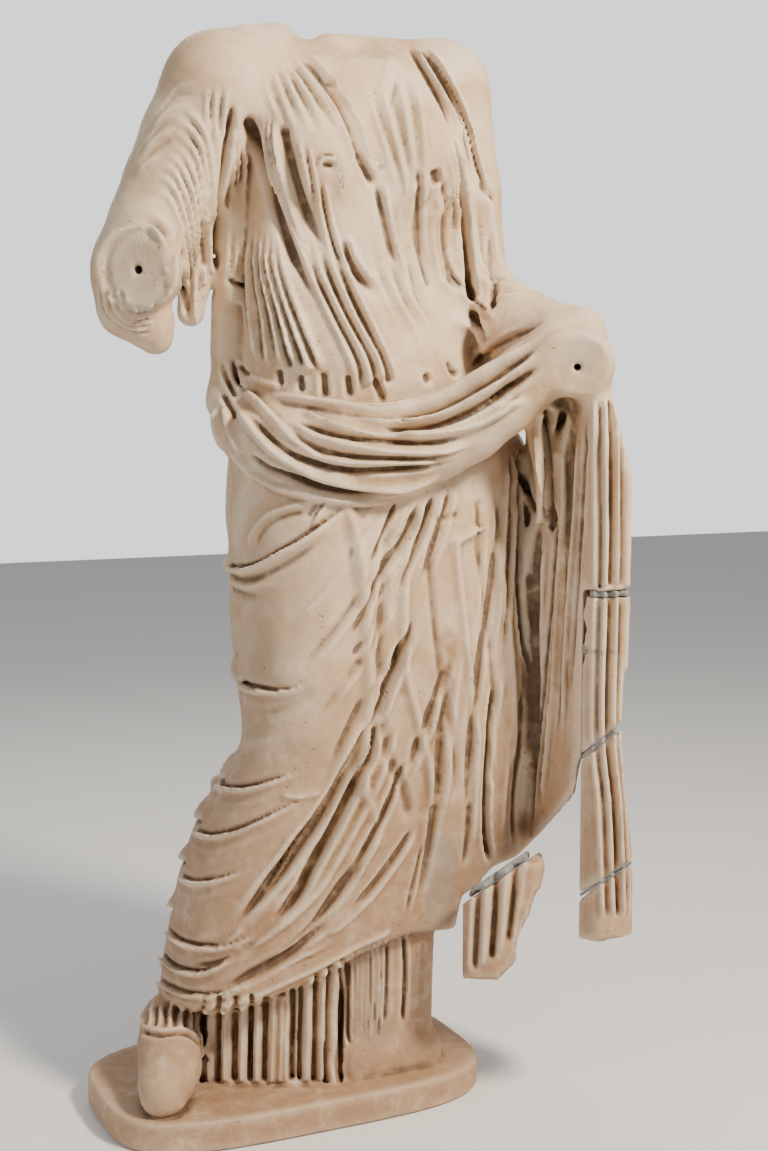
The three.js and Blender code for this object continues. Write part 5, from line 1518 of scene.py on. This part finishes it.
@dataclass
class BrokenPieces:
    """The fragments of the fall and of the hem, set in mortar beds.

    Attributes:
        cell: Spacing of the modelling grid, in millimetres.
        gap: Gap between neighbours.
        hem_left: Drawn place of the hem piece's left side.
        hem_form: The hem piece in broad form, in the drawing's axes.
    """

    cell: float = 3.6
    gap: float = 0.3
    hem_left: float = 297.0
    hem_form: Loft = Loft([
        [190, 322, -70, 30, 32, 45, 45, 4], [262, 337, -68, 46, 44, 50, 48, 4],
        [300, 349, -66, 58, 48, 52, 50, 4], [352, 366, -64, 74, 54, 54, 52, 4],
        [420, 384, -62, 70, 40, 54, 52, 4],
    ], 10)
    form: FigureForm = field(default_factory=FigureForm)
    drapery: Drapery = field(default_factory=Drapery)
    weathering: Weathering = field(default_factory=Weathering)

    def fall_parts(self) -> list[Part]:
        """Lists the pieces of the fall and their beds, from the top down."""
        first = Plane([0, 0, 858], [0, 0, 1])
        lines = (((555, 625), (483, 565), 8.0), ((600, 410), (480, 330), 6.0))
        tops = [sight_plane(a, b, 0) for a, b, _ in lines]
        under = [Plane([0, 0, 847], [0, 0, 1]), *[sight_plane(a, b, bed) for a, b, bed in lines]]
        upper = at("498 900 497 850 491 800 498 780 489 700 485 650 482 520 552 600 556 640 561 665 573 "
            "680 580 700 578 750 574 825 569 900")
        middle = at("482 650 483 550 482 500 478 450 470 370 487 342 496 300 602 350 600 410 597 440 592 "
            "480 585 515 575 540 570 580 557 606 552 680")
        lower = at("500 480 500 370 510 340 490 325 478 310 470 290 472 262 525 256 575 268 600 293 609 "
            "300 605 340 602 400 598 480")
        beds = (at("501 900 501 780 565 780 565 900"), at("488 660 488 500 550 520 550 680"),
                at("496 480 486 300 594 330 594 480"))
        return [
            Part("fall_fragment_upper", under[0], tops[0], upper),
            Part("mortar_upper", first, under[0], beds[0], "mortar"),
            Part("fall_fragment_middle", under[1], tops[1], middle),
            Part("mortar_middle", tops[0], under[1], beds[1], "mortar"),
            Part("fall_fragment_lower", under[2], None, lower),
            Part("mortar_lower", tops[1], under[2], beds[2], "mortar"),
        ]

    def hem_parts(self) -> list[Part]:
        """Lists the hem piece and its bed."""
        top, under = sight_plane((320, 352), (400, 408), 0), sight_plane((320, 352), (400, 408), 13)
        outline = at("303 460 301 340 295 320 289 290 294 262 291 200 300 193 355 190 365 200 388 225 384 "
            "250 395 280 405 300 415 330 433 372 440 460")
        bed = at("308 460 308 330 408 380 408 460")
        return [Part("hem_fragment", under, None, outline), Part("mortar_hem", top, under, bed, "mortar")]

    def hem_folds(self) -> list[Fold]:
        """Folds of the hem piece."""
        return [
            cut(at("322 350 319 280 316 200"), 7, 13, ends=(0.05, 0.1)),
            ridge(at("336 360 334 290 330 205"), 9, 7, ends=(0.05, 0.1)),
            cut(at("352 375 350 300 345 215"), 7, 15, ends=(0.05, 0.1)),
            ridge(at("368 385 365 310 358 230"), 9, 7, ends=(0.05, 0.1)),
            cut(at("384 395 380 320 372 245"), 6, 12, ends=(0.05, 0.1)),
            crest(at("400 400 396 350 388 300"), 8, 6, ends=(0.05, 0.1)),
        ]

    def carve_part(self, part: Part, form: Field, folds: Sequence[Fold], box: tuple,
        maker: PieceMaker) -> None:
        """Carves one part on its own grid.

        Args:
            part: The part.
            form: The broad form that it is a piece of.
            folds: Folds that run over it.
            box: Lowest and highest corner of its grid.
            maker: Makes the piece.
        """
        grid = ModellingGrid(form, *box, self.cell)
        grid.carve(folds)
        grid.settle()
        rough = 0.0 if part.slot == "marble" else 2.0

        def cutter(points: Array) -> Array:
            """Keeps what lies inside the outline and between the faces."""
            d = DrawnEdge(part.outline, 3.4 + rough)(points) + rough
            if part.top:
                d = smooth_max(d, part.top(points) + self.gap + np.maximum(noise(points, 15, 41), 0) * 1.5,
                    2)
            if part.bottom:
                d = smooth_max(d, self.gap - part.bottom(points) + np.maximum(noise(points, 15, 42),
                    0) * 1.5, 2)
            return d

        grid.trim(cutter, *box)
        surface = grid.surface()
        surface.relax(0.4)
        surface.marks = self.weathering.marks(grid, surface)
        maker.make(part.name.replace("_", "_piece_", 1), surface, part.slot, part.name)

    def build(self, maker: PieceMaker) -> None:
        """Carves and dresses every piece and bed.

        Args:
            maker: Makes the pieces.
        """
        def fall_front(points: Array) -> Array:
            """The fall in front of its break."""
            return smooth_max(self.form.fall(points), self.gap - self.form.break_face(points), 3)

        def hem_piece(points: Array) -> Array:
            """The hem piece to the right of its break."""
            side = self.hem_left - DRAWING.drawn(points)[0]
            return smooth_max(self.hem_form(DRAWING.to_drawing(points)), side, 2)

        levels = {"upper": (540, 880), "middle": (300, 750), "lower": (225, 560)}
        for part in self.fall_parts():
            low, high = levels[part.name.rsplit("_", 1)[1]]
            box = ((350, -360, low), (510, -60, high))
            self.carve_part(part, fall_front, self.drapery.fall(), box, maker)
        for part in self.hem_parts():
            self.carve_part(part, hem_piece, self.hem_folds(), ((170, -290, 170), (440, 20, 470)), maker)


# ------------------------------------------------------------------------------------------------ finishes
class Sheet:
    """A node tree with short ways to add and join nodes."""

    def __init__(self, tree: bpy.types.NodeTree) -> None:
        """Keeps the tree.

        Args:
            tree: The tree to add to.
        """
        self.tree = tree

    def add(self, kind: str, inputs: dict | None = None, **settings: object) -> bpy.types.Node:
        """Adds a node.

        Args:
            kind: The node's type.
            inputs: Values or sockets by input name or number.
            settings: Properties of the node.

        Returns:
            The node.
        """
        node = self.tree.nodes.new(kind)
        for name, value in settings.items():
            setattr(node, name, value)
        for name, value in (inputs or {}).items():
            socket = node.inputs[name]
            if isinstance(value, bpy.types.NodeSocket):
                self.tree.links.new(value, socket)
            else:
                socket.default_value = value
        return node

    def mark(self, name: str) -> bpy.types.NodeSocket:
        """Reads a value kept at the vertices."""
        return self.add("ShaderNodeAttribute", attribute_name=name).outputs["Fac"]

    def maths(self, operation: str, a: object, b: object = 0.0,
        clamp: bool = False) -> bpy.types.NodeSocket:
        """Adds a sum, product or other operation on two values."""
        return self.add("ShaderNodeMath", {0: a, 1: b}, operation=operation, use_clamp=clamp).outputs[0]

    def mix(self, amount: object, a: object, b: object, blend: str = "MIX") -> bpy.types.NodeSocket:
        """Mixes two colours."""
        node = self.add("ShaderNodeMix", data_type="RGBA", blend_type=blend, clamp_factor=True)
        for number, value in ((0, amount), (6, a), (7, b)):
            if isinstance(value, bpy.types.NodeSocket):
                self.tree.links.new(value, node.inputs[number])
            else:
                node.inputs[number].default_value = value
        return node.outputs[2]

    def spread(self, value: object, low: float, high: float) -> bpy.types.NodeSocket:
        """Maps a value's range from low to high on to 0 to 1, smoothly."""
        node = self.add("ShaderNodeMapRange", {0: value, 1: low, 2: high}, interpolation_type="SMOOTHSTEP")
        return node.outputs[0]


def stone_grain_group() -> bpy.types.NodeTree:
    """Builds the shared effect of weathered stone: mottling, fine grain and pits.

    Returns:
        A node group with sizes for inputs, and masks and a height for outputs.
    """
    group = bpy.data.node_groups.new("Weathered stone", "ShaderNodeTree")
    for name, value in (("Patch Scale", 7.0), ("Grain Scale", 420.0), ("Pit Scale", 90.0)):
        socket = group.interface.new_socket(name, in_out="INPUT", socket_type="NodeSocketFloat")
        socket.default_value = value
    for name in ("Patches", "Blotches", "Grain", "Pits", "Height"):
        group.interface.new_socket(name, in_out="OUTPUT", socket_type="NodeSocketFloat")
    sheet = Sheet(group)
    given = sheet.add("NodeGroupInput")
    place = sheet.add("ShaderNodeTexCoord").outputs["Object"]
    patches = sheet.add("ShaderNodeTexNoise", {
        "Vector": place, "Scale": given.outputs["Patch Scale"], "Detail": 6.0, "Roughness": 0.6,
        "Distortion": 0.6,
    }).outputs[0]
    wide = sheet.maths("MULTIPLY", given.outputs["Patch Scale"], 4.3)
    blotches = sheet.add("ShaderNodeTexNoise", {
        "Vector": place, "Scale": wide, "Detail": 5.0, "Roughness": 0.65, "Distortion": 0.3,
    }).outputs[0]
    grain = sheet.add("ShaderNodeTexNoise", {
        "Vector": place, "Scale": given.outputs["Grain Scale"], "Detail": 3.0, "Roughness": 0.7,
    }).outputs[0]
    spots = sheet.add("ShaderNodeTexVoronoi", {"Vector": place, "Scale": given.outputs["Pit Scale"]})
    deep = sheet.maths("SUBTRACT", 1.0, sheet.spread(spots.outputs["Distance"], 0.05, 0.32))
    pits = sheet.maths("MULTIPLY", deep, sheet.spread(blotches, 0.52, 0.66))
    height = sheet.maths("SUBTRACT", sheet.maths("MULTIPLY", grain, 0.35), sheet.maths("MULTIPLY", pits,
        0.9))
    height = sheet.maths("ADD", height, sheet.maths("MULTIPLY", blotches, 0.8))
    out = sheet.add("NodeGroupOutput")
    for name, value in (("Patches", patches), ("Blotches", blotches), ("Grain", grain), ("Pits", pits),
                        ("Height", height)):
        group.links.new(value, out.inputs[name])
    return group


Colour = tuple[float, float, float, float]


@dataclass(frozen=True)
class MarbleFinish:
    """Weathered fine marble: cream on the crests, with ochre stains, and painted shade in ochre and dark
    brown in the recesses.
    """

    pale: Colour = (0.74, 0.58, 0.41, 1)
    warm: Colour = (0.56, 0.37, 0.21, 1)
    rosy: Colour = (0.37, 0.22, 0.12, 1)
    ochre: Colour = (0.27, 0.14, 0.05, 1)
    # dark brown of the painted shade in the recesses
    brown: Colour = (0.085, 0.047, 0.024, 1)
    grey: Colour = (0.30, 0.28, 0.24, 1)
    white: Colour = (0.86, 0.74, 0.58, 1)

    def material(self, grain: bpy.types.NodeTree) -> bpy.types.Material:
        """Builds the finish.

        Args:
            grain: The shared effect of weathered stone.

        Returns:
            The material.
        """
        material = bpy.data.materials.new("Weathered marble")
        material.use_nodes = True
        sheet = Sheet(material.node_tree)
        shader = material.node_tree.nodes["Principled BSDF"]
        stone = sheet.add("ShaderNodeGroup", node_tree=grain)
        patches, blotches = stone.outputs["Patches"], stone.outputs["Blotches"]
        colour = sheet.mix(sheet.spread(patches, 0.36, 0.66), self.pale, self.warm)
        low = sheet.maths("MULTIPLY", sheet.mark("low"), sheet.spread(blotches, 0.05, 0.6))
        colour = sheet.mix(low, colour, self.rosy)
        # the ochre stains, which also carry painted shade in the deep hollows
        ochre = sheet.maths("MULTIPLY", sheet.mark("ochre"), sheet.spread(blotches, 0.25, 0.62))
        colour = sheet.mix(sheet.maths("MULTIPLY", ochre, 0.9), colour, self.ochre)
        colour = sheet.mix(sheet.maths("MULTIPLY", sheet.mark("grey"), 0.8), colour, self.grey)
        # painted shade: the recesses are darkened towards dark brown by the hollow mark, in patches
        hollow = sheet.spread(sheet.mark("hollow"), 0.12, 0.8)
        hollow_shade = sheet.maths("MULTIPLY", hollow, sheet.spread(blotches, 0.1, 0.6))
        colour = sheet.mix(sheet.maths("MULTIPLY", hollow_shade, 0.85), colour, self.brown)
        colour = sheet.mix(sheet.maths("MULTIPLY", sheet.mark("worn"), 0.45), colour, self.white)
        colour = sheet.mix(sheet.maths("MULTIPLY", stone.outputs["Pits"], 0.5), colour, self.ochre)
        material.node_tree.links.new(colour, shader.inputs["Base Color"])
        rough = sheet.maths("ADD", sheet.maths("MULTIPLY", patches, 0.25), 0.48)
        material.node_tree.links.new(rough, shader.inputs["Roughness"])
        shader.inputs["Specular IOR Level"].default_value = 0.4
        bump = sheet.add("ShaderNodeBump", {
            "Height": stone.outputs["Height"], "Strength": 0.6, "Distance": 0.003,
        })
        material.node_tree.links.new(bump.outputs[0], shader.inputs["Normal"])
        return material


@dataclass(frozen=True)
class MortarFinish:
    """Dull grey mortar with a coarse sandy surface."""

    light: Colour = (0.36, 0.36, 0.35, 1)
    dark: Colour = (0.22, 0.22, 0.22, 1)

    def material(self, grain: bpy.types.NodeTree) -> bpy.types.Material:
        """Builds the finish.

        Args:
            grain: The shared effect of weathered stone.

        Returns:
            The material.
        """
        material = bpy.data.materials.new("Grey mortar")
        material.use_nodes = True
        sheet = Sheet(material.node_tree)
        shader = material.node_tree.nodes["Principled BSDF"]
        stone = sheet.add("ShaderNodeGroup", {"Grain Scale": 700.0, "Pit Scale": 260.0}, node_tree=grain)
        colour = sheet.mix(sheet.spread(stone.outputs["Blotches"], 0.3, 0.7), self.light, self.dark)
        material.node_tree.links.new(colour, shader.inputs["Base Color"])
        rough = sheet.maths("ADD", sheet.maths("MULTIPLY", stone.outputs["Grain"], 0.1), 0.85)
        material.node_tree.links.new(rough, shader.inputs["Roughness"])
        bump = sheet.add("ShaderNodeBump", {
            "Height": stone.outputs["Height"], "Strength": 0.6, "Distance": 0.003,
        })
        material.node_tree.links.new(bump.outputs[0], shader.inputs["Normal"])
        return material


# -------------------------------------------------------------------------------------------------- studio
@dataclass(frozen=True)
class SoftLight:
    """A square soft light.

    Attributes:
        name: Its name.
        place: Where it is, in metres, in the drawing's axes.
        size: Length of its side.
        power: Its power in watts.
        colour: Its colour.
    """

    name: str
    place: tuple[float, float, float]
    size: float
    power: float
    colour: tuple[float, float, float]

    def hang(self, target: Array) -> None:
        """Hangs the light, facing the target."""
        data = bpy.data.lights.new(self.name, "AREA")
        data.size, data.energy, data.color = self.size, self.power, self.colour
        light = bpy.data.objects.new(self.name, data)
        bpy.context.scene.collection.objects.link(light)
        place = DRAWING.to_body(np.array(self.place))
        light.location = place
        light.rotation_euler = aim(place, target)


def aim(place: Array, target: Array) -> tuple[float, float, float]:
    """Finds the rotation that faces a target from a place."""
    x, y, z = target - place
    return (math.pi / 2 + math.atan2(z, math.hypot(x, y)), 0.0, math.atan2(y, x) - math.pi / 2)


@dataclass(frozen=True)
class Studio:
    """A pale floor, soft lights and the camera at eye level."""

    lens: float = 52.14
    air: float = 0.42  # strength of the light from all round
    backdrop: float = 1.1  # how much paler the air looks behind the statue
    pitch: float = math.radians(6.2)
    lights: tuple[SoftLight, ...] = (
        SoftLight("key", (2.2, -1.8, 3.2), 0.6, 240, (1.0, 0.89, 0.74)),
        SoftLight("fill", (-2.6, -1.8, 1.9), 2.2, 26, (0.86, 0.92, 1.0)),
        SoftLight("rim", (-0.6, 2.2, 2.8), 1.6, 30, (1.0, 0.97, 0.93)),
    )

    def build(self) -> None:
        """Lays the floor, hangs the lights and sets up the camera."""
        floor_mesh = bpy.data.meshes.new("floor")
        corners = [(-9, -9, 0), (9, -9, 0), (9, 9, 0), (-9, 9, 0)]
        floor_mesh.from_pydata([(x, y, -0.0005) for x, y, _ in corners], [], [(0, 1, 2, 3)])
        material = bpy.data.materials.new("Pale floor")
        material.use_nodes = True
        shader = material.node_tree.nodes["Principled BSDF"]
        shader.inputs["Base Color"].default_value = (0.80, 0.79, 0.77, 1)
        shader.inputs["Roughness"].default_value = 0.9
        floor_mesh.materials.append(material)
        floor = bpy.data.objects.new("floor", floor_mesh)
        bpy.context.scene.collection.objects.link(floor)
        world = bpy.data.worlds.new("Studio air")
        world.use_nodes = True
        world.node_tree.nodes["Background"].inputs[0].default_value = (0.93, 0.94, 0.97, 1)
        sheet = Sheet(world.node_tree)
        seen = sheet.add("ShaderNodeLightPath").outputs["Is Camera Ray"]
        strength = sheet.maths("ADD", self.air, sheet.maths("MULTIPLY", seen, self.backdrop))
        world.node_tree.links.new(strength, world.node_tree.nodes["Background"].inputs[1])
        bpy.context.scene.world = world
        for light in self.lights:
            light.hang(np.array([0.1, 0.0, 1.05]))
        data = bpy.data.cameras.new("eye level")
        data.lens, data.sensor_width = self.lens, 36.0
        camera = bpy.data.objects.new("eye level", data)
        bpy.context.scene.collection.objects.link(camera)
        camera.location = DRAWING.set_out(DRAWING.across, DRAWING.height, -DRAWING.distance) * MM
        camera.rotation_euler = (math.pi / 2 - self.pitch, 0.0, -DRAWING.turn)
        bpy.context.scene.camera = camera


def main() -> None:
    """Builds the dressed statue and its studio."""
    logging.basicConfig(level=logging.INFO, format="%(name)s: %(message)s")
    grain = stone_grain_group()
    maker = PieceMaker(MarbleFinish().material(grain), MortarFinish().material(grain))
    StatueBlock().build(maker)
    BrokenPieces().build(maker)
    Studio().build()


if __name__ == "__main__":
    main()
